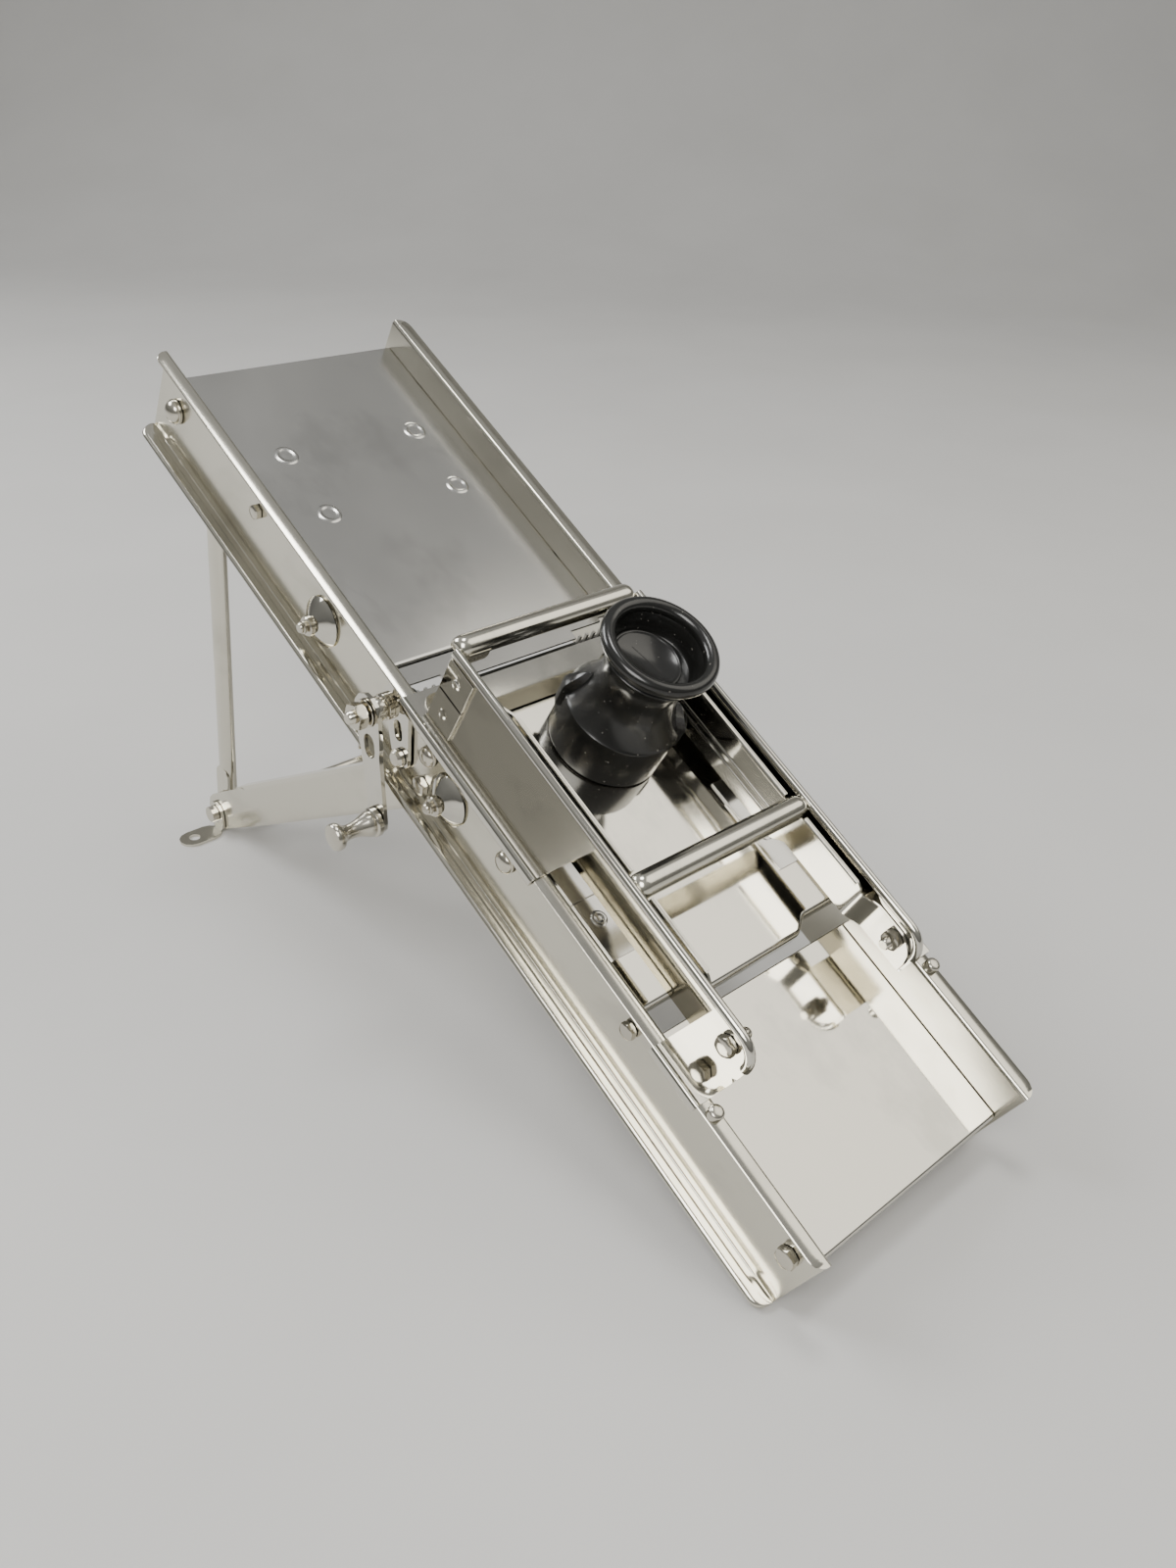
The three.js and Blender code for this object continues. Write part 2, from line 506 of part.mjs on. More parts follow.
function strutLeft() {
  const half = STAND.strutWide / 2;
  const outline = [];
  for (let i = 0; i <= 10; i += 1) {
    const angle = Math.PI / 2 + (Math.PI * i) / 10;
    outline.push([-STAND.x + 1 + 4.6 * Math.cos(angle), half * Math.sin(angle)]);
  }
  for (let i = 10; i >= 0; i -= 1) {
    const angle = Math.PI / 2 + (Math.PI * i) / 10;
    outline.push([-STAND.x + 1 + 3.5 * Math.cos(angle), (half - 1.1) * Math.sin(angle)]);
  }
  const from = along(STAND_PIVOT, FOOT_PIVOT, 0.05);
  const to = along(STAND_PIVOT, FOOT_PIVOT, 0.985);
  const tube = channelBetween(from, to, outline);
  const eyeTop = prismX(barOutline(STAND_PIVOT, along(STAND_PIVOT, FOOT_PIVOT, 0.1), 3.8, 3.8), -41.6, -40.2);
  const eyeFoot = prismX(barOutline(FOOT_PIVOT, along(FOOT_PIVOT, STAND_PIVOT, 0.1), 5, 5), -41.6, -40.2);
  const holes = [rodX(-50, -30, SHANK + GAP, STAND_PIVOT, 12), rodX(-50, -30, 2.1 + GAP, FOOT_PIVOT, 12)];
  return cut(union(tube, eyeTop, eyeFoot), ...holes);
}

// The brace hooks over the mid rod: its notch opens up the slope, so it holds push and pull and
// lets go when the brace is slid down the slope.
function braceLeft() {
  const outer = -STAND.x - 6;
  const half = STAND.braceWide / 2;
  const { braceDeep: deep } = STAND;
  const channel = [[outer + 0.8, half], [outer, half - 1.6], [outer, -half + 1.6], [outer + 0.8, -half],
    [outer + deep, -half], [outer + deep, -half + 1], [outer + 1.6, -half + 1], [outer + 1, -half + 2],
    [outer + 1, half - 2], [outer + 1.6, half - 1], [outer + deep, half - 1], [outer + deep, half]].reverse();
  const flanged = channelBetween(along(FOOT_PIVOT, MID_ROD, 0.13), along(FOOT_PIVOT, MID_ROD, 0.93), channel);
  const footBar = barOutline(FOOT_PIVOT, along(FOOT_PIVOT, MID_ROD, 0.16), 8.6, half - 0.4);
  const footEnd = prismX(footBar, outer, outer + 1);
  const hookBar = barOutline(along(FOOT_PIVOT, MID_ROD, 0.88), MID_ROD, half - 0.4, 6);
  const hookEnd = prismX(hookBar, outer, outer + 1);
  const mouth = [MID_ROD[0] + 20, MID_ROD[1] + 2];
  const notch = prismX(barOutline(MID_ROD, mouth, 2.7, 4), outer - 2, outer + deep + 2);
  return cut(union(flanged, footEnd, hookEnd), rodX(-50, -30, 2.1 + GAP, FOOT_PIVOT, 12), notch);
}

function footRod() {
  const end = STAND.x + 6 + GAP + FOOT.thick + GAP;
  const half = (s) => [[0, s * (end + 3)], [3.7, s * (end + 3)], [3.7, s * end], [2.1, s * end]];
  return turned([...half(-1), ...half(1).reverse()], 12).translate(0, ...FOOT_PIVOT);
}

// Angle plate bolted to the brace: an upright ear and a flat tab that lies on the table.
function footTabLeft(height) {
  const outer = -STAND.x - 6 - GAP - FOOT.thick;
  const w = FOOT.wide / 2;
  const earOutline = barOutline([0, 0], [0, -height + w], w - 0.6, w - 0.6)
    .map(([y, z]) => [y, Math.max(z, -height)]);
  const ear = prismX(earOutline, outer, outer + FOOT.thick, [[0, 0, 2.1 + GAP]]);
  const centre = [outer - FOOT.reach + w, 0];
  const tab = prismZ(barOutline(centre, [outer + FOOT.thick - w, 0], w, w)
    .map(([x, y]) => [Math.min(x, outer + FOOT.thick), y]), -height, -height + FOOT.thick,
  [[outer - FOOT.reach + w + 1, 0, FOOT.hole]]);
  return union(ear, tab);
}

function addStand(deck, footHeight) {
  addPair(deck, 'strut', strutLeft(), STEEL);
  addPair(deck, 'brace', braceLeft(), STEEL);
  add(deck, 'foot_rod', footRod(), NICKEL);
  const level = new THREE.Group();
  level.position.set(0, ...FOOT_PIVOT);
  level.rotation.x = -TILT;
  addPair(level, 'foot_tab', footTabLeft(footHeight), STEEL);
  deck.add(level);
}

function build() {
  const part = new THREE.Group();
  part.name = 'mandoline_slicer';
  const deck = new THREE.Group();
  deck.rotation.x = TILT;
  const tableZ = -RAIL.depth * Math.cos(TILT);
  const footZ = FOOT_PIVOT[0] * Math.sin(TILT) + FOOT_PIVOT[1] * Math.cos(TILT);

  addFrame(deck);
  addPlates(deck);
  addLevers(deck);
  addCombs(deck);
  addCarriage(deck);
  add(deck, 'pusher_body', pusherBody(), BLACK_PLASTIC);
  addStand(deck, footZ - tableZ);

  part.add(deck);
  part.updateMatrixWorld(true);
  const bounds = new THREE.Box3().setFromObject(part, true);
  const centre = bounds.getCenter(new THREE.Vector3());
  deck.position.set(-centre.x, -centre.y, -bounds.min.z);
  part.updateMatrixWorld(true);
  return part;
}

export default build();
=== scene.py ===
"""Mandoline slicer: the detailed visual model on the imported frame."""
import math

import bmesh
import bpy
from mathutils import Matrix, Vector


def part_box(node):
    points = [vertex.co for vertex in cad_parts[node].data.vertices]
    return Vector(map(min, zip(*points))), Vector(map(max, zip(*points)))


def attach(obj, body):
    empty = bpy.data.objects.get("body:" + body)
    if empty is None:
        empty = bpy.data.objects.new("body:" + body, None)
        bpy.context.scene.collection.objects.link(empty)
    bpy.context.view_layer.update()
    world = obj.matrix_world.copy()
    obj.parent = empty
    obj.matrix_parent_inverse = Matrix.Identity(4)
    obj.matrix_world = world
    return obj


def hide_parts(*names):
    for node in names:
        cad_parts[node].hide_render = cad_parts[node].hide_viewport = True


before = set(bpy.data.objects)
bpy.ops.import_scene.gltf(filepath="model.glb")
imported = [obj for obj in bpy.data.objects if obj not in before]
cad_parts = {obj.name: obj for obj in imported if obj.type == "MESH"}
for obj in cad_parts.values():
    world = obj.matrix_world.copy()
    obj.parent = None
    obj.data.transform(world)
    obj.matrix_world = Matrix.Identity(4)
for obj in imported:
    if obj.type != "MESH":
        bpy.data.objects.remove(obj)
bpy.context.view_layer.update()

# ---- deck frame: x across, y up the slope, z off the deck, in millimetres ----
TILT = math.radians(29)
MM = 0.001
RAIL_DEPTH = 37.0
RAIL_LENGTH = 395.0
WEB = 51.8
SHEET = 1.0
PLATE_HALF = 50.9
WEB_FACE = 52.6   # just outside the rail web, where the fixings seat

rail_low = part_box("rail_left")[0]
plate_low, plate_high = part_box("lower_plate")
DECK_ORIGIN = Vector((
    (plate_low.x + plate_high.x) / 2,
    rail_low.y,
    rail_low.z + RAIL_DEPTH * MM * math.cos(TILT),
))
DECK = Matrix.Translation(DECK_ORIGIN) @ Matrix.Rotation(TILT, 4, "X") @ Matrix.Scale(MM, 4)

CRANK_AXIS = (225.5, -9.5)
UPPER_AXLE = (272.5, -19.8)
LOWER_AXLE = (189.5, -20.8)
STAND_PIVOT = (381.5, -17.6)
MID_ROD = (202.0, -28.5)
FOOT_PIVOT = (308.2, -196.4)
CRANK_ANGLE = math.radians(33.3)
CRANK_ARM = 41.0
KNOB_AXIS = (
    CRANK_AXIS[0] - CRANK_ARM * math.sin(CRANK_ANGLE),
    CRANK_AXIS[1] - CRANK_ARM * math.cos(CRANK_ANGLE),
)


# ---- materials ----
class Nodes:
    """Short-hand for building one material's node tree."""

    def __init__(self, name):
        self.material = bpy.data.materials.new(name)
        self.material.use_nodes = True
        self.tree = self.material.node_tree
        self.shader = self.tree.nodes["Principled BSDF"]

    def add(self, kind, **values):
        node = self.tree.nodes.new(kind)
        for key, value in values.items():
            if key in node.inputs:
                node.inputs[key].default_value = value
            else:
                setattr(node, key, value)
        return node

    def link(self, source, target):
        self.tree.links.new(source, target)

    def coords(self, scale):
        """Object coordinates turned to lie along the deck."""
        where = self.add("ShaderNodeTexCoord")
        mapping = self.add("ShaderNodeMapping")
        mapping.inputs["Rotation"].default_value = (-TILT, 0, 0)
        mapping.inputs["Scale"].default_value = scale
        self.link(where.outputs["Object"], mapping.inputs["Vector"])
        return mapping.outputs["Vector"]

    def noise(self, scale, detail=4.0, stretch=(1, 1, 1), rough=0.55):
        node = self.add("ShaderNodeTexNoise", Scale=scale, Detail=detail, Roughness=rough)
        self.link(self.coords(stretch), node.inputs["Vector"])
        return node.outputs["Fac"]

    def ramp(self, source, stops):
        node = self.add("ShaderNodeValToRGB")
        elements = node.color_ramp.elements
        while len(elements) < len(stops):
            elements.new(0.5)
        for element, (position, colour) in zip(elements, stops):
            element.position = position
            element.color = (*colour, 1)
        self.link(source, node.inputs["Fac"])
        return node.outputs["Color"]

    def span(self, source, low, high, start=0.3, end=0.7):
        node = self.add("ShaderNodeMapRange")
        node.inputs["From Min"].default_value = start
        node.inputs["From Max"].default_value = end
        node.inputs["To Min"].default_value = low
        node.inputs["To Max"].default_value = high
        self.link(source, node.inputs["Value"])
        return node.outputs["Result"]

    def sum(self, first, second):
        node = self.add("ShaderNodeMath", operation="ADD")
        self.link(first, node.inputs[0])
        self.link(second, node.inputs[1])
        return node.outputs["Value"]

    def bump(self, height, distance):
        node = self.add("ShaderNodeBump", Strength=1.0, Distance=distance)
        self.link(height, node.inputs["Height"])
        self.link(node.outputs["Normal"], self.shader.inputs["Normal"])


ALONG_SLOPE = (1, 0.02, 1)
ALL_WAYS = (1, 1, 1)
STEEL_BUMP = 0.00025
PLASTIC_BUMP = 0.0002
STAIN = 0.86          # how dark a wiping mark is beside the clean metal


def steel(name, tint, low, high, grain=ALONG_SLOPE, scratch=0.5, wavy=1.0):
    """Metal: cloudy wiping marks, fine scratches along the grain, and slightly uneven reflections."""
    n = Nodes(name)
    n.shader.inputs["Metallic"].default_value = 1.0
    cloud = n.noise(scale=26, detail=7, stretch=(1, 0.5, 1), rough=0.6)
    stained = tuple(c * STAIN for c in tint)
    shades = [(0.34, stained), (0.47, tint), (0.62, tint)]
    n.link(n.ramp(cloud, shades), n.shader.inputs["Base Color"])
    wiped = n.noise(scale=30, detail=4, stretch=(1, 0.35, 1), rough=0.5)
    lines = n.noise(scale=1500, detail=2, stretch=grain)
    line_rough = n.span(wiped, low, high), n.span(lines, 0.0, 0.05 * scratch, 0.60, 0.75)
    n.link(n.sum(*line_rough), n.shader.inputs["Roughness"])
    uneven = n.noise(scale=14, detail=1)
    heights = n.span(lines, 0, 0.006 * scratch, 0.6, 0.8), n.span(uneven, 0, 1.4 * wavy, 0.2, 0.8)
    n.bump(n.sum(*heights), STEEL_BUMP)
    return n.material


def plastic(name):
    """Glossy moulded black plastic with handling marks and a little dust."""
    n = Nodes(name)
    dust = n.noise(scale=700, detail=1, rough=0.4)
    clean, worn, speck = (0.009, 0.009, 0.0085), (0.011, 0.011, 0.010), (0.20, 0.19, 0.17)
    n.link(n.ramp(dust, [(0.0, clean), (0.74, worn), (0.80, speck)]), n.shader.inputs["Base Color"])
    wiped = n.noise(scale=55, detail=5, stretch=(1, 1, 0.4))
    n.link(n.span(wiped, 0.16, 0.27), n.shader.inputs["Roughness"])
    n.shader.inputs["Coat Weight"].default_value = 0.2
    n.shader.inputs["Coat Roughness"].default_value = 0.10
    marks = n.noise(scale=900, detail=2, stretch=(0.1, 1, 1))
    n.bump(n.span(marks, 0, 0.02, 0.6, 0.8), PLASTIC_BUMP)
    return n.material


SLOTS = {
    # the warm steel and nickel tints are partly the metals' own colour and partly a painted reflection of
    # cream surroundings
    "polished_steel": steel("polished_steel", (0.66, 0.64, 0.575), low=0.05, high=0.11, wavy=0.5),
    "rail_steel": steel("rail_steel", (0.67, 0.645, 0.56), low=0.13, high=0.20, scratch=0.6, wavy=0.05),
    "sheet_steel": steel("satin_steel", (0.60, 0.592, 0.565), low=0.19, high=0.25, scratch=0.35,
                         wavy=0.3),
    "dull_steel": steel("dull_steel", (0.40, 0.39, 0.36), low=0.30, high=0.42),
    # near-black tint is painted shade: the combs, fine teeth and blade holder are bright steel that lies in
    # the unlit slot
    "shade_dark_steel": steel("shade_dark_steel", (0.055, 0.054, 0.05), low=0.30, high=0.42),
    "nickel": steel("nickel", (0.62, 0.59, 0.51), low=0.15, high=0.24, grain=ALL_WAYS, wavy=0.05),
    "black_plastic": plastic("black_plastic"),
}


# ---- mesh helpers ----
WELD = 1e-4          # points closer than this are one point, in millimetres
BEVEL_SEGMENTS = 2
BEVEL_ANGLE = 30     # degrees; flatter edges stay as they are
SMOOTH_ANGLE = 35    # degrees; sharper edges keep a crease


def piece(name, bm, body, finish, nodes=(), bevel=0.0, smooth=SMOOTH_ANGLE, place=DECK):
    """A finished object from bm, given in deck millimetres."""
    bmesh.ops.remove_doubles(bm, verts=bm.verts, dist=WELD)
    bmesh.ops.recalc_face_normals(bm, faces=bm.faces)
    mesh = bpy.data.meshes.new(name)
    bm.to_mesh(mesh)
    bm.free()
    mesh.transform(place)
    obj = bpy.data.objects.new(name, mesh)
    bpy.context.scene.collection.objects.link(obj)
    mesh.materials.append(SLOTS[finish])
    shade(mesh, smooth)
    if bevel:
        soften(obj, bevel)
    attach(obj, body)
    if nodes:
        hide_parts(*nodes)
    return obj


def shade(mesh, angle):
    mesh.polygons.foreach_set("use_smooth", [True] * len(mesh.polygons))
    mesh.set_sharp_from_angle(angle=math.radians(angle))


def soften(obj, width):
    modifier = obj.modifiers.new("edges", "BEVEL")
    modifier.width = width * MM
    modifier.segments = BEVEL_SEGMENTS
    modifier.limit_method = "ANGLE"
    modifier.angle_limit = math.radians(BEVEL_ANGLE)
    modifier.harden_normals = True


def add_loft(bm, rings, closed=False):
    """Skins a run of point rings and caps both ends, or joins last to first."""
    rows = [[bm.verts.new(p) for p in ring] for ring in rings]
    count = len(rows[0])
    pairs = list(zip(rows, rows[1:]))
    if closed:
        pairs.append((rows[-1], rows[0]))
    for lower, upper in pairs:
        for i in range(count):
            j = (i + 1) % count
            bm.faces.new((lower[i], lower[j], upper[j], upper[i]))
    if not closed:
        bm.faces.new(list(reversed(rows[0])))
        bm.faces.new(rows[-1])


def add_prism_x(bm, outline, x0, x1):
    add_loft(bm, [[(x, y, z) for y, z in outline] for x in (x0, x1)])


def add_prism_y(bm, outline, y0, y1):
    add_loft(bm, [[(x, y, z) for x, z in outline] for y in (y0, y1)])


def add_turned(bm, profile, axis=(0.0, 0.0), segments=48, along="x", mirror=1):
    """Turned solid from [radius, along] pairs; a pair with radius 0 closes it on the axis."""
    rings = []
    for radius, position in profile:
        ring = []
        for i in range(segments):
            angle = 2 * math.pi * i / segments
            a, b = radius * math.cos(angle), radius * math.sin(angle)
            if along == "x":
                ring.append((mirror * position, axis[0] + a, axis[1] + b))
            else:
                ring.append((axis[0] + a, axis[1] + b, position))
        rings.append(ring)
    closed = profile[0][0] > 0 and profile[-1][0] > 0
    add_loft(bm, rings, closed)


def fillet(points, radius, steps=5):
    """Open polyline with each inner corner rounded."""
    result = [Vector(points[0])]
    for before, corner, after in zip(points, points[1:], points[2:]):
        corner = Vector(corner)
        into, out = Vector(before) - corner, Vector(after) - corner
        half = into.angle(out) / 2
        reach = min(radius / math.tan(half), into.length * 0.49, out.length * 0.49)
        start, end = corner + into.normalized() * reach, corner + out.normalized() * reach
        for i in range(steps + 1):
            t = i / steps
            result.append(start.lerp(corner, t).lerp(corner.lerp(end, t), t))
    result.append(Vector(points[-1]))
    return result


EDGE_REACH = 0.8    # how far a rounded sheet edge stands proud, in half thicknesses
EDGE_SPREAD = 0.45


def sheet_outline(points, radius=1.2, thick=SHEET):
    """Closed outline of bent sheet of that thickness about a centre line, its free edges rounded."""
    line = fillet(points, radius)
    normals = []
    for i, _ in enumerate(line):
        before, after = line[max(i - 1, 0)], line[min(i + 1, len(line) - 1)]
        run = (after - before).normalized()
        normals.append(Vector((-run.y, run.x)))
    half = thick / 2
    left = [p + n * half for p, n in zip(line, normals)]
    right = [p - n * half for p, n in zip(line, normals)]
    start, end = (line[0] - line[1]).normalized(), (line[-1] - line[-2]).normalized()
    reach, spread_out = half * EDGE_REACH, half * EDGE_SPREAD
    tip = [line[-1] + end * reach + normals[-1] * spread_out,
           line[-1] + end * reach - normals[-1] * spread_out]
    tail = [line[0] + start * reach - normals[0] * spread_out,
            line[0] + start * reach + normals[0] * spread_out]
    return [tuple(p) for p in left + tip + list(reversed(right)) + tail]


def bar_outline(a, b, radius_a, radius_b, steps=12):
    """Rounded bar around the line from a to b."""
    a, b = Vector(a), Vector(b)
    along = math.atan2(b.y - a.y, b.x - a.x)
    points = []
    for centre, radius, turn in ((a, radius_a, math.pi / 2), (b, radius_b, -math.pi / 2)):
        for i in range(steps + 1):
            angle = along + turn + math.pi * i / steps
            points.append((centre.x + radius * math.cos(angle), centre.y + radius * math.sin(angle)))
    return points


def add_tube(bm, path, radius, segments=16):
    """Round bar of that radius swept along a list of points."""
    rings = []
    points = [Vector(p) for p in path]
    for i, point in enumerate(points):
        run = (points[min(i + 1, len(points) - 1)] - points[max(i - 1, 0)]).normalized()
        side = Vector((1, 0, 0)) if abs(run.x) < 0.9 else Vector((0, 0, 1))
        u = run.cross(side).normalized()
        v = run.cross(u)
        rings.append([point + (u * math.cos(a) + v * math.sin(a)) * radius
                      for a in (2 * math.pi * k / segments for k in range(segments))])
    add_loft(bm, rings)


def mirrored(bm):
    bmesh.ops.scale(bm, vec=(-1, 1, 1), verts=bm.verts)
    return bm


def both_sides(name, make, body, finish, node, **options):
    """Left piece as drawn and its mirror image on the right."""
    for side in ("left", "right"):
        bm = make()
        if side == "right":
            mirrored(bm)
        piece(f"{name}_{side}", bm, body, finish, nodes=(f"{node}_{side}",), **options)


# ---- frame ----
def end_round(y, radius, length):
    """How far a corner of that radius is still pulled in at y."""
    near = min(y, length - y)
    if near >= radius:
        return 0.0
    return radius - math.sqrt(max(radius ** 2 - (radius - near) ** 2, 0.0))


RAIL_CORNER = 4.8        # the flanges' end corners
RAIL_BEND = 1.1
TOP_FLANGE, FOOT_FLANGE = 5.5, 6.6
RAIL_HALF_DEPTH = -18    # above this is the top flange, below it the foot
GROOVE_DEEP, GROOVE_START, GROOVE_RUN = 0.9, 7.5, 3.0


def rail():
    """Channel on the left: web, top flange outwards, foot with a rolled groove, round end corners."""
    bm = bmesh.new()
    stations = [0, 0.15, 0.6, 1.3, 2.2, 3.4, 4.8, 6.5, 8, 9, 10, 11, 12.5, 60]
    stations = stations + [RAIL_LENGTH - s for s in reversed(stations)]
    rings = []
    for y in stations:
        near = min(y, RAIL_LENGTH - y)
        groove = min(max((near - GROOVE_START) / GROOVE_RUN, 0.0), 1.0)
        low = -35.5 - GROOVE_DEEP * groove
        line = [(57.3, -0.5), (WEB, -0.5), (WEB, -36.4), (54.0, low), (55.0, low + 0.05),
                (55.6, -35.5), (58.2, -35.5), (58.9, -36.2)]
        outline = sheet_outline(line, RAIL_BEND)
        pull = end_round(y, RAIL_CORNER, RAIL_LENGTH)
        ring = []
        for x, z in outline:
            reach = max(x - WEB - 0.5, 0.0)
            full = TOP_FLANGE if z > RAIL_HALF_DEPTH else FOOT_FLANGE
            ring.append((-(x - reach * pull / full), y, z))
        rings.append(ring)
    add_loft(bm, rings)
    return bm


HEX_POINTS = 24
SHANK_SUNK = 1.2    # how far a shank reaches back from its head's seat


def hex_head(radius, face, height, axis, turn=0.2, shank=1.5):
    """Chamfered six-sided head on the left, seated at face, with its shank behind it."""
    bm = bmesh.new()
    levels = [(radius * 0.96, face), (radius, face + 0.2), (radius, face + height * 0.66),
              (radius * 0.92, face + height * 0.80), (radius * 0.74, face + height * 0.93),
              (radius * 0.40, face + height)]
    rings = []
    for r, x in levels:
        ring = []
        for i in range(HEX_POINTS):
            angle = 2 * math.pi * i / HEX_POINTS
            flat = math.cos(math.pi / 6) / math.cos((angle % (math.pi / 3)) - math.pi / 6)
            limit = min(r, radius * flat)
            a, b = limit * math.cos(angle + turn), limit * math.sin(angle + turn)
            ring.append((-x, axis[0] + a, axis[1] + b))
        rings.append(ring)
    add_loft(bm, rings)
    back = face - SHANK_SUNK
    add_turned(bm, [(0, back), (shank, back), (shank, face), (0, face)], axis, 16, mirror=-1)
    return bm


def thread_profile(radius, start, length, pitch=0.55):
    """Stud end with ring grooves at the pitch and a chamfered tip."""
    profile = [(0, start)]
    turns = int(length / pitch)
    for i in range(turns):
        profile += [(radius, start + i * pitch), (radius - 0.22, start + (i + 0.5) * pitch)]
    end = start + turns * pitch
    return profile + [(radius - 0.3, end), (radius - 0.6, end + 0.25), (0, end + 0.25)]


def dome_head(radius, face, height, axis):
    """Low domed nut with a turned collar."""
    bm = bmesh.new()
    back = face - SHANK_SUNK
    profile = [(0, back), (1.5, back), (1.5, face), (radius - 0.1, face), (radius, face + 0.15),
               (radius, face + height * 0.26), (radius * 0.93, face + height * 0.30)]
    for i in range(1, 9):
        angle = math.pi / 2 * i / 8
        profile.append((radius * 0.92 * math.cos(angle) if i < 8 else 0,
                        face + height * (0.30 + 0.70 * math.sin(angle))))
    add_turned(bm, profile, axis, 40, mirror=-1)
    return bm


def build_fixings():
    """Each kind of head that shows on the webs: name, shape, place along the rail, radius, height."""
    specs = [
        ("plate_bolt", "hex", (321.6, -12.5), 3.0, 2.2),
        ("holder_bolt", "dome", (204.5, -14.5), 4.0, 3.0),
        ("platform_bolt", "dome", (158, -14), 4.2, 3.0),
        ("platform_pivot", "hex", (89.4, -12.2), 3.2, 2.6),
        ("lower_bolt", "hex", (8.5, -14), 3.9, 3.0),
        ("stand_pin", "dome", STAND_PIVOT, 4.8, 4.1),
    ]
    for name, kind, axis, radius, height in specs:
        head = hex_head if kind == "hex" else dome_head
        both_sides(name, lambda: head(radius, WEB_FACE, height, axis), "frame", "nickel", name)


STOP_PEG = (-54.8, 52.8)


def stop_peg():
    """Round peg standing on the top flange."""
    bm = bmesh.new()
    profile = [(0, 0.05), (2.3, 0.05), (2.6, 0.3), (2.6, 2.5), (2.45, 2.9), (2.1, 3.2), (1.4, 3.42),
               (0, 3.5)]
    add_turned(bm, profile, STOP_PEG, 32, along="z")
    return bm


ROD_RADIUS = 2.2


def add_cross_rod(bm, axis, half):
    """Plain rod from web to web."""
    profile = [(0, -half), (ROD_RADIUS, -half), (ROD_RADIUS, half), (0, half)]
    add_turned(bm, profile, axis, 28)


def mid_rod():
    bm = hex_head(3.6, WEB_FACE, 2.8, MID_ROD, shank=ROD_RADIUS)
    join(bm, mirrored(hex_head(3.6, WEB_FACE, 2.8, MID_ROD, shank=ROD_RADIUS)))
    add_cross_rod(bm, MID_ROD, 51.4)
    return bm


def join(bm, other):
    mesh = bpy.data.meshes.new("part")
    other.to_mesh(mesh)
    other.free()
    bm.from_mesh(mesh)
    bpy.data.meshes.remove(mesh)


def add_ring_mark(bm, x, y, z, radius=4.0):
    """Raised ring with a dimple in it, as a spot weld leaves."""
    profile = [(radius + 0.9, z - 0.05), (radius + 0.35, z + 0.16), (radius - 0.1, z + 0.34),
               (radius - 0.7, z + 0.30), (radius - 1.2, z + 0.06), (radius - 2.0, z + 0.03),
               (1.0, z + 0.10), (0, z + 0.12), (0, z - 0.3), (radius + 0.9, z - 0.3)]
    add_turned(bm, profile, (x, y), 40, along="z")


def smooth_step(value, start, end):
    t = min(max((value - start) / (end - start), 0.0), 1.0)
    return t * t * (3 - 2 * t)


def spread(start, end, count):
    return [start + (end - start) * i / count for i in range(count + 1)]


PLATFORM_SWING = (24, 33)    # where the lower edge swings up the slope, from the middle outwards
PLATFORM_LIFT = 4.6


def platform_sheet():
    """Sheet with a bent-down lower edge that swings up the slope near both ends."""
    bm = bmesh.new()
    bent = sheet_outline([(87.6, -14.0), (87.6, -8.5), (205.9, -8.5)], 1.8)
    half = [0.0] + spread(*PLATFORM_SWING, 9) + [PLATE_HALF]
    rings = []
    for x in [-x for x in reversed(half[1:])] + half:
        lift = PLATFORM_LIFT * smooth_step(abs(x), *PLATFORM_SWING)
        rings.append([(x, y + lift if y < 100 else y, z) for y, z in bent])
    add_loft(bm, rings)
    return bm


def edge_plate():
    """Thin spot-welded plate along the platform's left edge, in two lengths."""
    bm = bmesh.new()
    outer, inner, seat = -46.0, -35.6, -7.95
    for top, y0, y1 in ((-7.3, 110.0, 132.4), (-7.2, 132.7, 150.0)):
        add_prism_y(bm, [(outer, seat), (inner, seat), (inner, top), (outer, top)], y0, y1)
    add_ring_mark(bm, -40.6, 124.5, -7.35, 2.4)
    return bm


def build_plates():
    bm = bmesh.new()
    lip = sheet_outline([(242.6, -15.4), (240.6, -14.6), (241.4, -12.7), (392.5, -12.7)], 2.2)
    add_prism_x(bm, lip, -PLATE_HALF, PLATE_HALF)
    plate_top = -12.2
    for x, y in ((-27, 344.7), (-27, 313), (33, 344.7), (33, 312.7)):
        add_ring_mark(bm, x, y, plate_top)
    piece("upper_plate_sheet", bm, "upper_plate", "sheet_steel", ("upper_plate",), bevel=0.2)

    piece("platform_sheet", platform_sheet(), "platform", "polished_steel", ("platform",), bevel=0.15)
    piece("platform_edge_plate_left", edge_plate(), "platform", "sheet_steel", bevel=0.12)
    piece("platform_edge_plate_right", mirrored(edge_plate()), "platform", "sheet_steel", bevel=0.12)

    bm = bmesh.new()
    low = sheet_outline([(1.6, -19.0), (1.6, -17.0), (83.6, -17.0)], 1.2)
    add_prism_x(bm, low, -PLATE_HALF, PLATE_HALF)
    piece("lower_plate_sheet", bm, "frame", "polished_steel", ("lower_plate",), bevel=0.15)


def finish_node(name, finish, bevel, smooth=SMOOTH_ANGLE):
    """A CAD node whose shape is right keeps it, and gets its finish and softened edges."""
    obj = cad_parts[name]
    obj.data.materials.clear()
    obj.data.materials.append(SLOTS[finish])
    shade(obj.data, smooth)
    soften(obj, bevel)


def build_frame():
    both_sides("rail_channel", rail, "frame", "rail_steel", "rail", smooth=40)
    build_fixings()
    both_sides("stop_peg_turned", stop_peg, "frame", "nickel", "stop_peg")
    piece("mid_tie_rod", mid_rod(), "frame", "nickel", ("mid_rod",))
    build_plates()
    finish_node("blade", "polished_steel", 0.08)
    # the blade holder gets the near-black painted shade steel of the unlit slot
    finish_node("blade_holder", "shade_dark_steel", 0.25)
    finish_node("throat_strip", "sheet_steel", 0.2)


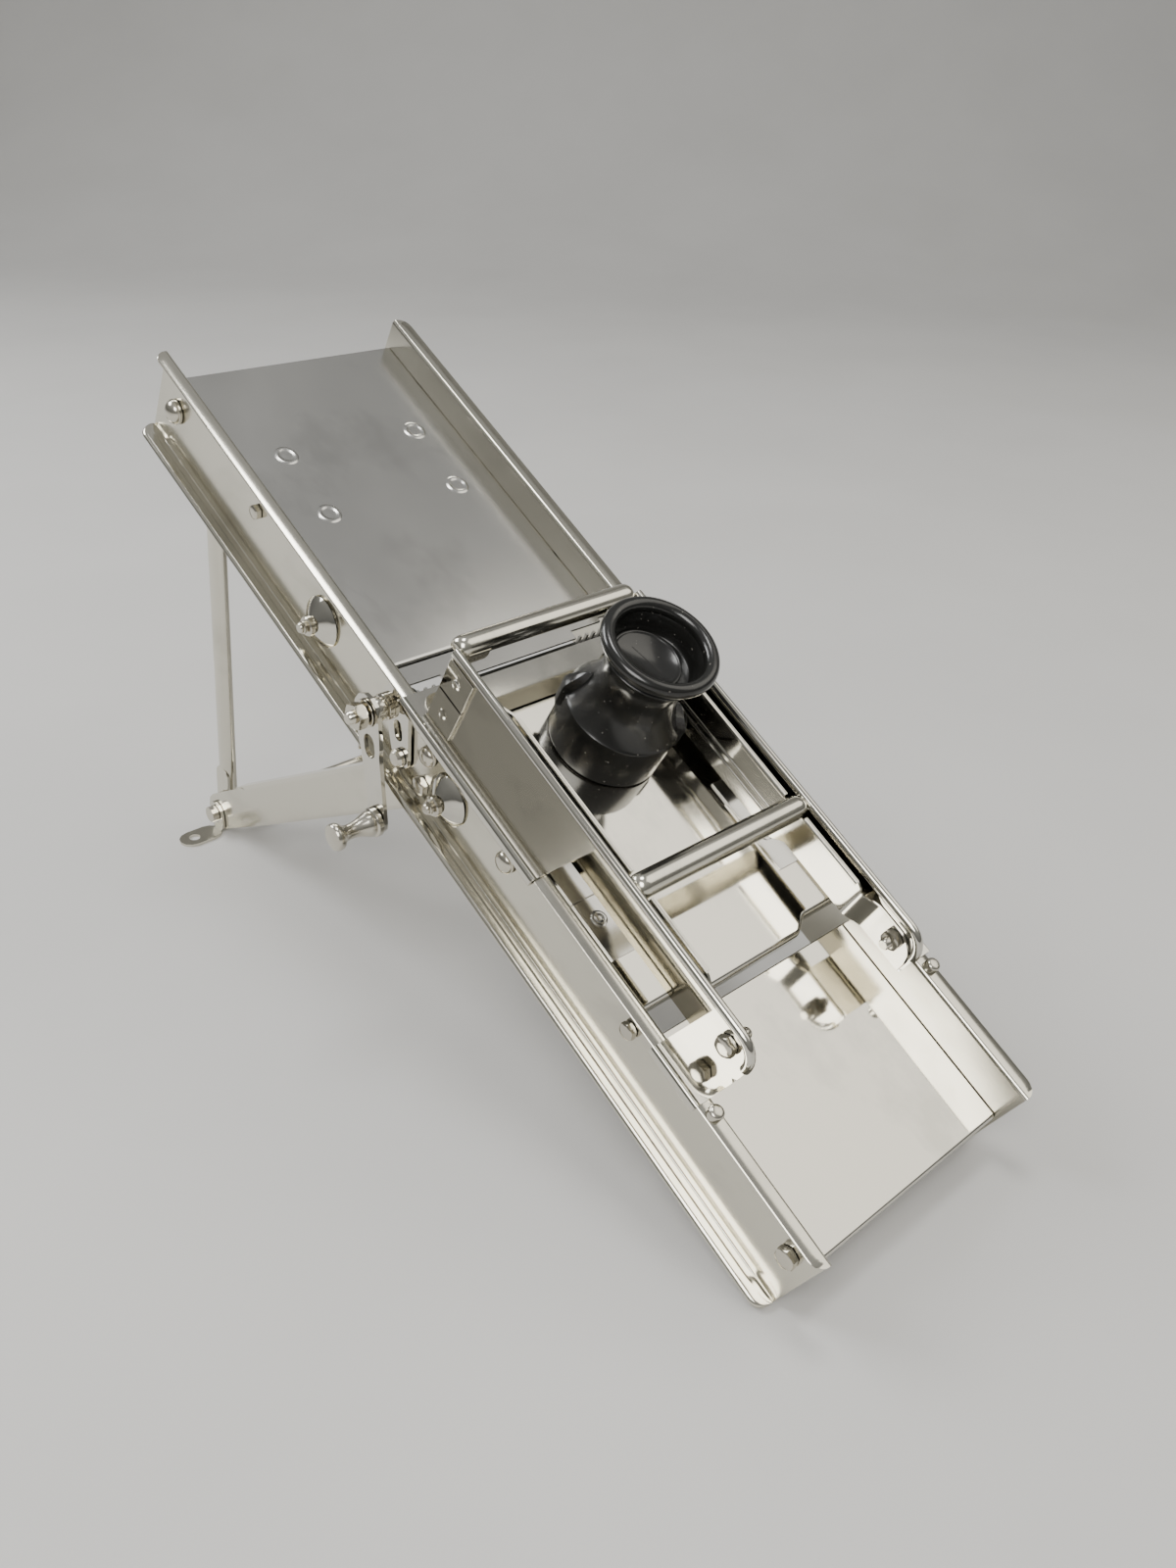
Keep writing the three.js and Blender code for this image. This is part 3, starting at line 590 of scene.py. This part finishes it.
# ---- levers, combs and crank ----
def dish_washer(axis):
    """Dished spring washer that stands off the web towards its middle."""
    bm = bmesh.new()
    height, radius, hole = 4.5, 9.6, 3.2
    steps, curve = 8, 0.8
    outer, inner = [], []
    for i in range(steps + 1):
        t = i / steps
        r = radius - (radius - hole) * t
        outer.append((r, WEB_FACE + 0.5 + (height - 0.5) * (t ** curve)))
        inner.append((max(r - 0.5, 2.6), WEB_FACE + (height - 0.8) * (t ** curve)))
    profile = outer + list(reversed(inner))
    add_turned(bm, profile, axis, 56, mirror=-1)
    return bm


def friction_axle(axis):
    """Rod between the webs with a turned, grooved button outside each washer."""
    bm = bmesh.new()
    seat, tip, neck = 57.5, 62.5, 1.9
    profile = [(0, seat), (3.1, seat), (3.7, seat + 0.3), (3.7, seat + 1.9), (3.3, seat + 2.3),
               (2.3, seat + 2.3), (neck, seat + 2.5), (neck, seat + 2.9), (2.3, seat + 3.1),
               (2.3, seat + 3.7), (neck, seat + 3.9), (neck, 62.1), (1.6, tip), (0, tip)]
    for side in (-1, 1):
        add_turned(bm, profile, axis, 36, mirror=side)
        add_turned(bm, [(0, 57.6), (neck, 57.6), (neck, 52.5), (0, 52.5)], axis, 24, mirror=side)
    add_cross_rod(bm, axis, 51.1)
    return bm


def build_levers():
    for name, axis in (("upper_lever", UPPER_AXLE), ("lower_lever", LOWER_AXLE)):
        both_sides(f"{name}_washer", lambda: dish_washer(axis), name, "polished_steel",
                   f"{name}_dish", smooth=60)
        piece(f"{name}_spindle", friction_axle(axis), name, "nickel", (f"{name}_axle",))
        finish_node(f"{name}_arm", "dull_steel", 0.35)


# outlines seen from the side, y measured from the crank axis
FINGER = [(2.6, -17.2), (3.6, -17.2), (2.3, -14.1), (2.7, -10.6), (1.4, -10.4), (1.3, -14.1)]
FINGER_HALF = 0.55
TOOTH = [(-4.1, -17.2), (-3.1, -17.2), (-0.6, -13.2), (-0.1, -11.6), (-0.9, -11.4), (-1.9, -13.6)]
TOOTH_HALF = 0.4


def at_crank(outline):
    return [(CRANK_AXIS[0] + y, z) for y, z in outline]


def coarse_fingers():
    """Fingers of the coarse comb that rise in the throat strip's two end notches."""
    bm = bmesh.new()
    for side in (-1, 1):
        for x in spread(32.8, 43.3, 3):
            add_prism_x(bm, at_crank(FINGER), side * x - FINGER_HALF, side * x + FINGER_HALF)
    return bm


def fine_teeth():
    """Low teeth of the fine comb, just inside the slot."""
    bm = bmesh.new()
    for x in spread(-44, 44, 25):
        add_prism_x(bm, at_crank(TOOTH), x - TOOTH_HALF, x + TOOTH_HALF)
    return bm


def turned_crank_axle():
    """Spindle on the left: nut, stud end and washer outside the crank, grooved boss inside it."""
    bm = bmesh.new()
    join(bm, mirrored(hex_head(4.9, -71.9, 4.6, CRANK_AXIS, turn=0.35)))
    add_turned(bm, thread_profile(2.35, 71.7, 2.2), CRANK_AXIS, 24, mirror=-1)
    washer = [(2.7, 66.8), (4.9, 66.8), (5.1, 67.0), (5.1, 67.15), (4.9, 67.3), (2.7, 67.3)]
    add_turned(bm, washer, CRANK_AXIS, 36, mirror=-1)
    body = [(0, 67.3), (2.6, 67.3), (2.6, 64.6), (4.2, 64.6), (4.4, 64.3), (4.4, 61.5), (4.0, 61.2),
            (3.6, 61.0), (3.6, 60.3), (4.4, 60.1), (4.8, 59.7), (4.8, 58.2), (4.5, 58.0), (4.5, 57.8),
            (4.8, 57.6), (4.8, 56.2), (4.5, 56.0), (2.2, 56.0), (2.2, 52.5), (0, 52.5)]
    add_turned(bm, body, CRANK_AXIS, 40, mirror=-1)
    add_turned(bm, [(0, 51.1), (2.2, 51.1), (2.2, 46.7), (0, 46.7)], CRANK_AXIS, 24, mirror=-1)
    return bm


def turned_knob():
    """Waisted knob with a round end and a collar against the crank."""
    bm = bmesh.new()
    outer, inner, pin_end = 85.0, 66.8, 64.1
    profile = [(0, outer), (3.9, outer), (4.6, outer - 0.25), (4.95, outer - 0.8), (5.0, outer - 1.6),
               (4.9, outer - 2.5), (4.5, outer - 3.2), (3.7, outer - 3.9), (3.0, outer - 4.8),
               (2.75, outer - 6.2), (2.75, outer - 8.0), (3.0, outer - 9.8), (3.5, outer - 11.5),
               (4.2, outer - 13.2), (4.75, outer - 14.6), (4.75, inner + 2.9), (4.5, inner + 2.6),
               (5.1, inner + 2.3), (5.4, inner + 1.9), (5.4, inner + 0.3), (5.1, inner), (1.4, inner),
               (1.4, pin_end), (0, pin_end)]
    add_turned(bm, profile, KNOB_AXIS, 56, mirror=-1)
    return bm


def build_crank():
    # both combs get the near-black painted shade steel of the unlit slot
    finish_node("coarse_comb", "shade_dark_steel", 0.15)
    finish_node("fine_comb", "shade_dark_steel", 0.15)
    piece("coarse_comb_fingers", coarse_fingers(), "crank", "dull_steel", bevel=0.12)
    # the fine teeth get the near-black painted shade steel of the unlit slot
    piece("fine_comb_teeth", fine_teeth(), "fork", "shade_dark_steel")
    piece("crank_spindle", turned_crank_axle(), "crank", "nickel", ("crank_axle",))
    piece("crank_knob_turned", turned_knob(), "knob", "nickel", ("crank_knob",))
    finish_node("crank_arm", "polished_steel", 0.3)
    finish_node("fork_lever", "polished_steel", 0.25)
    finish_node("fork_screw", "nickel", 0.15)


# ---- carriage ----
WALL_IN = 41.2
CARRIAGE_LOW, CARRIAGE_HIGH, CARRIAGE_TOP = 57.0, 220.4, 18.0
CARRIAGE_BOLT = (66.5, 10.5)
END_ROUND = 9.0


def end_arc(steps=8):
    """The wall's rounded lower end, from its lower edge up to its top edge."""
    angles = (math.pi / 2 * i / steps for i in range(steps + 1))
    return [(CARRIAGE_LOW + END_ROUND * (1 - math.cos(a)), CARRIAGE_TOP - END_ROUND * (1 - math.sin(a)))
            for a in angles]


HOOK_SPANS = ((57.3, 79.0), (143.0, CARRIAGE_HIGH))    # where the wall's foot hooks round the rail
ROLL_RADIUS = 1.75
ROLL_X = -WALL_IN - 0.8


def carriage_side():
    """Left wall: flat sheet with a round lower end, a rolled top edge and feet hooked over the rail."""
    bm = bmesh.new()
    outline = [(CARRIAGE_HIGH, 0.5), (CARRIAGE_HIGH, CARRIAGE_TOP)] + list(reversed(end_arc()))
    outline += [(CARRIAGE_LOW, 3.0), (CARRIAGE_LOW + 2.5, 0.5)]
    add_prism_x(bm, outline, -WALL_IN - SHEET, -WALL_IN)
    path = [(ROLL_X, y + 0.8 * (1 - i / 8), z) for i, (y, z) in enumerate(end_arc())]
    path += [(ROLL_X, y, CARRIAGE_TOP) for y in (80, 110, 150, 190, 214, CARRIAGE_HIGH)]
    add_tube(bm, path, ROLL_RADIUS, 24)
    hook = [(-WALL_IN - 0.3, 0.9), (-57.2, 0.9), (-58.6, 1.3), (-59.1, 0.2), (-59.1, -1.6),
            (-58.4, -1.9), (-56.4, -1.9)]
    outline = sheet_outline(hook, 1.0, 0.9)
    for y0, y1 in HOOK_SPANS:
        add_prism_y(bm, outline, y0, y1)
    return bm


GUIDE_LOW, GUIDE_HIGH = 58.0, 191.0
GUIDE_WEB, GUIDE_FLUSH = -37.3, -40.4    # the strip's middle, standing clear and lying on the wall
GUIDE_BEND = (76.5, 84.5)
GUIDE_HALF = 0.5
GUIDE_TOP, GUIDE_FLUSH_TOP = 17.0, 14.5
GUIDE_FOOT, GUIDE_SKIRT = 1.6, 4.6       # the lower edge, and how far it drops over the platform
NOTCH_LOW, NOTCH_HIGH, NOTCH_TOP = 115.8, 126.2, 15.0
GUIDE_TAB_LOW = 10.0
RIB_HEIGHTS = (6.6, 3.4)
RIB_RADIUS = 0.75


def guide_top(y):
    """Top edge of the strip: lower where it lies on the wall, and notched under the cross bar."""
    if NOTCH_LOW < y < NOTCH_HIGH:
        return NOTCH_TOP
    return GUIDE_FLUSH_TOP + (GUIDE_TOP - GUIDE_FLUSH_TOP) * smooth_step(y, 83, 88)


def guide_strip_rings():
    """The strip's section at each station, up to the tab that turns out to the wall at its top end."""
    stations = spread(GUIDE_LOW, GUIDE_LOW + END_ROUND, 8) + [70, 74] + spread(*GUIDE_BEND, 8)
    stations += [86, 88, 100, 115.7, 115.9, 118, 120, 122, 126.1, 126.3, 150, 170, GUIDE_HIGH]
    rings = []
    for y in stations:
        near = max(GUIDE_LOW + END_ROUND - y, 0.0)
        z1 = guide_top(y) - END_ROUND + math.sqrt(END_ROUND ** 2 - near ** 2)
        z0 = GUIDE_FOOT - GUIDE_SKIRT * smooth_step(y, 115, 122)
        x = GUIDE_FLUSH + (GUIDE_WEB - GUIDE_FLUSH) * smooth_step(y, *GUIDE_BEND)
        x0, x1 = x - GUIDE_HALF, x + GUIDE_HALF
        rings.append([(x0, y, z0), (x1, y, z0), (x1, y, z1), (x0, y, z1)])
    for x, beyond in ((-37.6, 1.2), (-38.8, 3.6), (-39.2, 4.6)):
        y, y_in = GUIDE_HIGH + beyond, GUIDE_HIGH + beyond + 0.2
        x0, x1 = x - GUIDE_HALF, x + GUIDE_HALF
        rings.append([(x0, y, GUIDE_TAB_LOW), (x1, y_in, GUIDE_TAB_LOW), (x1, y_in, GUIDE_TOP),
                      (x0, y, GUIDE_TOP)])
    return rings


def guide():
    """Strip close inside the wall, lying on it at the low end, with a hemmed top edge and low ribs."""
    bm = bmesh.new()
    add_loft(bm, guide_strip_rings())
    hem = [(-38.0, 15.2), (-36.3, 15.2), (-35.9, 15.7), (-35.9, 16.5), (-36.3, 17.0), (-37.6, 17.0),
           (-38.0, 16.6)]
    for y0, y1 in ((87.5, 115.7), (126.3, GUIDE_HIGH - 1)):
        add_prism_y(bm, hem, y0, y1)
    for z in RIB_HEIGHTS:
        path = [(GUIDE_WEB + 0.45, y, z) for y in (127.0, 128.5, 150.0, 170.0, 188.0, 189.5)]
        add_tube(bm, path, RIB_RADIUS, 14)
    return bm


def wall_bracket():
    """Plate spot-welded to the wall's outer face beside the throat."""
    bm = bmesh.new()
    face = WALL_IN + SHEET
    y0, y1, z0, z1 = 206.8, 220.2, 1.7, 15.6
    add_prism_x(bm, [(y0, z0), (y1, z0), (y1, z1), (y0, z1)], -face - 1.1, -face - 0.05)
    rivet = [(0, face + 1.0), (2.0, face + 1.0), (1.95, face + 1.3), (1.4, face + 1.6),
             (0.6, face + 1.7), (0, face + 1.7)]
    add_turned(bm, rivet, (213.6, 9.2), 28, mirror=-1)
    return bm


def inner_nut():
    """Nut and stud end on the wall's inner side."""
    seat = WALL_IN - SHEET - 0.6
    bm = mirrored(hex_head(3.9, -seat, 3.0, CARRIAGE_BOLT, turn=0.5))
    stud = [(0, seat - 3.2), (2.0, seat - 3.2), (2.0, seat - 5.4), (1.6, seat - 6.0), (0, seat - 6.0)]
    add_turned(bm, stud, CARRIAGE_BOLT, 24, mirror=-1)
    return bm


BAR_END = 4.0              # over this length a half-round bar's end is drawn down
BAR_END_HEIGHT = 0.35      # and what is left there of its height and width
BAR_END_WIDTH = 0.55
BAR_BASE = 0.8


def half_round(y, z, radius, reach):
    """Half-round bar across the carriage, its ends drawn down to the walls."""
    bm = bmesh.new()
    straight = reach - BAR_END
    right = [0.0, straight] + [straight + BAR_END * math.sin(math.pi / 2 * i / 8) for i in range(1, 9)]
    rings = []
    for x in [-x for x in reversed(right[1:])] + right:
        t = max(abs(x) - straight, 0.0) / BAR_END
        full = math.sqrt(max(1 - t * t, 0.0))
        height = BAR_END_HEIGHT + (1 - BAR_END_HEIGHT) * full
        width = radius * (BAR_END_WIDTH + (1 - BAR_END_WIDTH) * full)
        arc = [(y + width * math.cos(a), z + radius * height * math.sin(a))
               for a in (math.pi * i / 20 for i in range(21))]
        base = [(y - width, z - BAR_BASE), (y + width, z - BAR_BASE)]
        rings.append([(x, p, q) for p, q in arc + base])
    add_loft(bm, rings)
    return bm


BAR_REACH = 40.4


def build_carriage():
    both_sides("carriage_wall", carriage_side, "carriage", "polished_steel", "carriage_side",
               bevel=0.12, smooth=40)
    both_sides("guide_strip", guide, "carriage", "polished_steel", "pusher_guide",
               bevel=0.12, smooth=40)
    both_sides("wall_nut", inner_nut, "carriage", "nickel", "carriage_nut")
    bolt_face = WALL_IN + SHEET + 0.3
    both_sides("wall_bolt", lambda: hex_head(3.9, bolt_face, 3.1, CARRIAGE_BOLT), "carriage",
               "nickel", "carriage_bolt")
    for side in ("left", "right"):
        bm = wall_bracket()
        if side == "right":
            mirrored(bm)
        piece(f"wall_bracket_{side}", bm, "carriage", "polished_steel", bevel=0.2)

    bridge = half_round(222.3, 16.6, 4.2, BAR_REACH)
    clip = [(-37.4, 17.2), (-37.4, 13.6), (-36.6, 12.6), (-29.6, 12.6), (-28.4, 13.8), (-28.4, 17.2)]
    add_prism_y(bridge, clip, 217.9, 218.9)
    piece("bridge_half_round", bridge, "carriage", "rail_steel", ("bridge_bar",), bevel=0.15)
    cross = half_round(121, 15.8, 4.4, BAR_REACH)
    piece("cross_half_round", cross, "carriage", "rail_steel", ("cross_bar",), bevel=0.15)


# ---- pusher ----
PUSHER_X, PUSHER_Y = 8.4, 183.0
LUG_TURN = math.radians(-45)
RIM_RADIUS, RIM_TUBE, RIM_HEIGHT = 18.7, 2.65, 43.0
RIM_START, RIM_SWEEP, RIM_STEPS = -112, 316, 24    # the rolled rim's arc, in degrees
CAP_TURN = math.radians(13)


def pusher():
    """Turned holder: foot, waist, rolled rim and the recess inside it."""
    bm = bmesh.new()
    rim = []
    for i in range(RIM_STEPS + 1):
        angle = math.radians(RIM_START + RIM_SWEEP * i / RIM_STEPS)
        rim.append((RIM_RADIUS + RIM_TUBE * math.cos(angle), RIM_HEIGHT + RIM_TUBE * math.sin(angle)))
    outside = [(0, -7.7), (20.4, -7.7), (21.1, -7.5), (21.5, -7.0), (21.5, 10.5), (21.4, 10.9),
               (21.05, 11.25), (20.5, 11.9), (18.6, 15.0), (16.9, 18.0), (15.7, 21.0), (15.0, 24.0),
               (14.7, 27.0), (14.9, 30.0), (15.6, 33.0), (16.7, 35.4), (17.7, 36.7), (18.1, 37.1),
               (18.2, 37.5), (17.9, 37.8), (17.5, 38.1), (17.3, 39.2), (17.4, 40.1)]
    inside = [(15.7, 40.6), (15.2, 38.4), (14.8, 36.4), (14.5, 35.1), (14.0, 34.5), (13.4, 34.4), (0, 34.4)]
    add_turned(bm, outside + rim + inside, (0, 0), 112, along="z")
    return bm


def pusher_lug(side):
    """One side lug, widest at its low end and drawn in towards the waist above."""
    bm = bmesh.new()
    inner = 12.0
    levels = [(3.4, 22.2, 3.6), (3.9, 22.9, 4.3), (12.4, 23.0, 4.4), (14.2, 22.4, 4.0), (17.5, 20.2, 2.6),
              (20.3, 17.8, 1.2), (21.4, 16.4, 0.7)]
    rings = []
    for z, out, half in levels:
        rings.append([(side * inner, -half, z), (side * out, -half * 0.7, z), (side * (out + 0.4), 0, z),
                      (side * out, half * 0.7, z), (side * inner, half, z)])
    add_loft(bm, rings)
    return bm


def build_pusher():
    bm = pusher()
    for side in (-1, 1):
        join(bm, pusher_lug(side))
    place = DECK @ Matrix.Translation((PUSHER_X, PUSHER_Y, 0)) @ Matrix.Rotation(LUG_TURN, 4, "Z")
    piece("pusher_moulding", bm, "pusher", "black_plastic", ("pusher_body",), bevel=0.35, smooth=50,
          place=place)
    bm = bmesh.new()
    cap = [(0, 34.4), (12.9, 34.4), (12.9, 35.5), (12.6, 35.8), (12.1, 35.85), (11.7, 35.6),
           (11.2, 35.2), (0, 35.15)]
    add_turned(bm, cap, (0, 0), 80, along="z")
    seam_half, seam_low, seam_top = 0.12, 35.1, 35.27
    add_prism_y(bm, [(-seam_half, seam_low), (seam_half, seam_low), (seam_half, seam_top),
                     (-seam_half, seam_top)], -6.6, 6.6)
    place = DECK @ Matrix.Translation((PUSHER_X - 1, PUSHER_Y + 1.5, 0)) @ Matrix.Rotation(CAP_TURN, 4, "Z")
    piece("pusher_cap", bm, "pusher", "black_plastic", smooth=50, place=place)


# ---- stand ----
def along(a, b, t):
    return (a[0] + (b[0] - a[0]) * t, a[1] + (b[1] - a[1]) * t)


STRUT_IN = -37.0
STRUT_BACK, STRUT_HALF = 4.6, 5.45
STRUT_STEPS = 24
HOLLOW, HOLLOW_WIDE = 0.78, 0.82    # the inside, as a share of the outside's depth and width


def strut():
    """Half-tube leg, its round back outwards, with flattened eyes at the pivots."""
    bm = bmesh.new()
    start, end = along(STAND_PIVOT, FOOT_PIVOT, 0.05), along(STAND_PIVOT, FOOT_PIVOT, 0.985)
    run = (Vector(end) - Vector(start)).normalized()
    across = Vector((-run.y, run.x))
    outward = range(STRUT_STEPS + 1)
    outline = []
    for deep, wide, order in ((1.0, 1.0, outward), (HOLLOW, HOLLOW_WIDE, reversed(outward))):
        for i in order:
            angle = math.pi * i / STRUT_STEPS
            flat = abs(math.sin(angle)) ** 0.75
            outline.append((STRUT_IN - STRUT_BACK * flat * deep, STRUT_HALF * wide * math.cos(angle)))
    rings = []
    for y, z in (start, end):
        rings.append([(x, y + across.x * w, z + across.y * w) for x, w in outline])
    add_loft(bm, rings)
    eyes = ((STAND_PIVOT, along(STAND_PIVOT, FOOT_PIVOT, 0.1), 3.8),
            (FOOT_PIVOT, along(FOOT_PIVOT, STAND_PIVOT, 0.1), 5))
    for pivot, toward, radius in eyes:
        add_prism_x(bm, bar_outline(pivot, toward, radius, radius), -41.5, -40.3)
    return bm


def build_stand():
    both_sides("strut_half_tube", strut, "stand_strut", "rail_steel", "strut", bevel=0.15, smooth=50)
    for side in ("left", "right"):
        finish_node(f"brace_{side}", "rail_steel", 0.35, smooth=50)
        finish_node(f"foot_tab_{side}", "rail_steel", 0.3)
    finish_node("foot_rod", "nickel", 0.4)


# ---- stage ----
CAMERA_AT = Vector((-0.27912, -0.32687, 0.34029))
CAMERA_AXES = (Vector((0.73559, -0.67660, 0.03344)), Vector((0.31673, 0.38714, 0.86591)),
               Vector((-0.59883, -0.62636, 0.49908)))
LENS_MM = 30.9


def build_camera():
    data = bpy.data.cameras.new("camera")
    data.lens = LENS_MM
    data.sensor_width = 36.0
    camera = bpy.data.objects.new("camera", data)
    rotation = Matrix(CAMERA_AXES).transposed().to_4x4()
    camera.matrix_world = Matrix.Translation(CAMERA_AT) @ rotation
    bpy.context.scene.collection.objects.link(camera)
    bpy.context.scene.camera = camera


def area_light(name, at, aim, size, power, colour):
    data = bpy.data.lights.new(name, "AREA")
    data.shape = "RECTANGLE"
    data.size, data.size_y = size
    data.energy = power
    data.color = colour
    light = bpy.data.objects.new(name, data)
    light.location = at
    light.rotation_euler = (Vector(aim) - Vector(at)).to_track_quat("-Z", "Y").to_euler()
    bpy.context.scene.collection.objects.link(light)


def backdrop():
    """Pale floor that curves up into a wall behind the object, seen from the camera."""
    front, depth, bend, height, wide = -3.0, 1.5, 0.9, 2.6, 4.0
    profile = [(front, 0.0), (depth, 0.0)]
    profile += [(depth + bend * math.sin(a), bend * (1 - math.cos(a))) for a in
                (math.pi / 2 * i / 16 for i in range(1, 17))]
    profile.append((depth + bend, height))
    bm = bmesh.new()
    rows = [[bm.verts.new((x, y, z)) for y, z in profile] for x in (-wide, wide)]
    for i in range(len(profile) - 1):
        bm.faces.new((rows[0][i], rows[1][i], rows[1][i + 1], rows[0][i + 1]))
    mesh = bpy.data.meshes.new("floor")
    bm.to_mesh(mesh)
    bm.free()
    away = math.atan2(-CAMERA_AXES[2].y, -CAMERA_AXES[2].x)
    mesh.transform(Matrix.Rotation(away - math.pi / 2, 4, "Z"))
    shade(mesh, 40)
    return bpy.data.objects.new("floor", mesh)


def build_floor():
    floor = backdrop()
    bpy.context.scene.collection.objects.link(floor)
    n = Nodes("floor")
    grain = n.noise(scale=6, detail=3)
    shades = [(0.3, (0.60, 0.592, 0.575)), (0.7, (0.63, 0.622, 0.605))]
    n.link(n.ramp(grain, shades), n.shader.inputs["Base Color"])
    n.shader.inputs["Roughness"].default_value = 0.7
    floor.data.materials.append(n.material)


def build_world():
    """Dim surroundings, lighter towards the upper walls, for the metal to mirror."""
    world = bpy.data.worlds.new("studio")
    world.use_nodes = True
    tree = world.node_tree
    background = tree.nodes["Background"]
    background.inputs["Strength"].default_value = 1.0
    where = tree.nodes.new("ShaderNodeTexCoord")
    split = tree.nodes.new("ShaderNodeSeparateXYZ")
    ramp = tree.nodes.new("ShaderNodeValToRGB")
    shades = ((0.0, (0.16, 0.16, 0.155)), (0.35, (0.26, 0.26, 0.25)), (0.80, (0.42, 0.42, 0.41)),
              (1.0, (0.36, 0.36, 0.36)))
    while len(ramp.color_ramp.elements) < len(shades):
        ramp.color_ramp.elements.new(0.5)
    for element, (position, colour) in zip(ramp.color_ramp.elements, shades):
        element.position = position
        element.color = (*colour, 1)
    tree.links.new(where.outputs["Generated"], split.inputs["Vector"])
    tree.links.new(split.outputs["Z"], ramp.inputs["Fac"])
    tree.links.new(ramp.outputs["Color"], background.inputs["Color"])
    bpy.context.scene.world = world


def build_stage():
    build_floor()
    build_world()
    area_light("cream_panel", at=(0.90, -0.62, 1.08), aim=(0.0, -0.08, 0.08), size=(1.05, 1.0),
               power=5.6, colour=(1.0, 0.955, 0.86))
    area_light("front", at=(-0.85, -0.75, 1.15), aim=(0, 0, 0.12), size=(0.75, 0.75),
               power=15, colour=(1.0, 0.985, 0.96))
    area_light("back", at=(-0.55, 1.15, 1.15), aim=(0, 0.05, 0.12), size=(0.9, 0.5),
               power=16, colour=(0.98, 0.99, 1.0))
    area_light("top", at=(0.1, 0.1, 1.9), aim=(0, 0, 0.1), size=(0.5, 0.5),
               power=10, colour=(1.0, 1.0, 0.99))


build_frame()
build_levers()
build_crank()
build_carriage()
build_pusher()
build_stand()
build_camera()
build_stage()
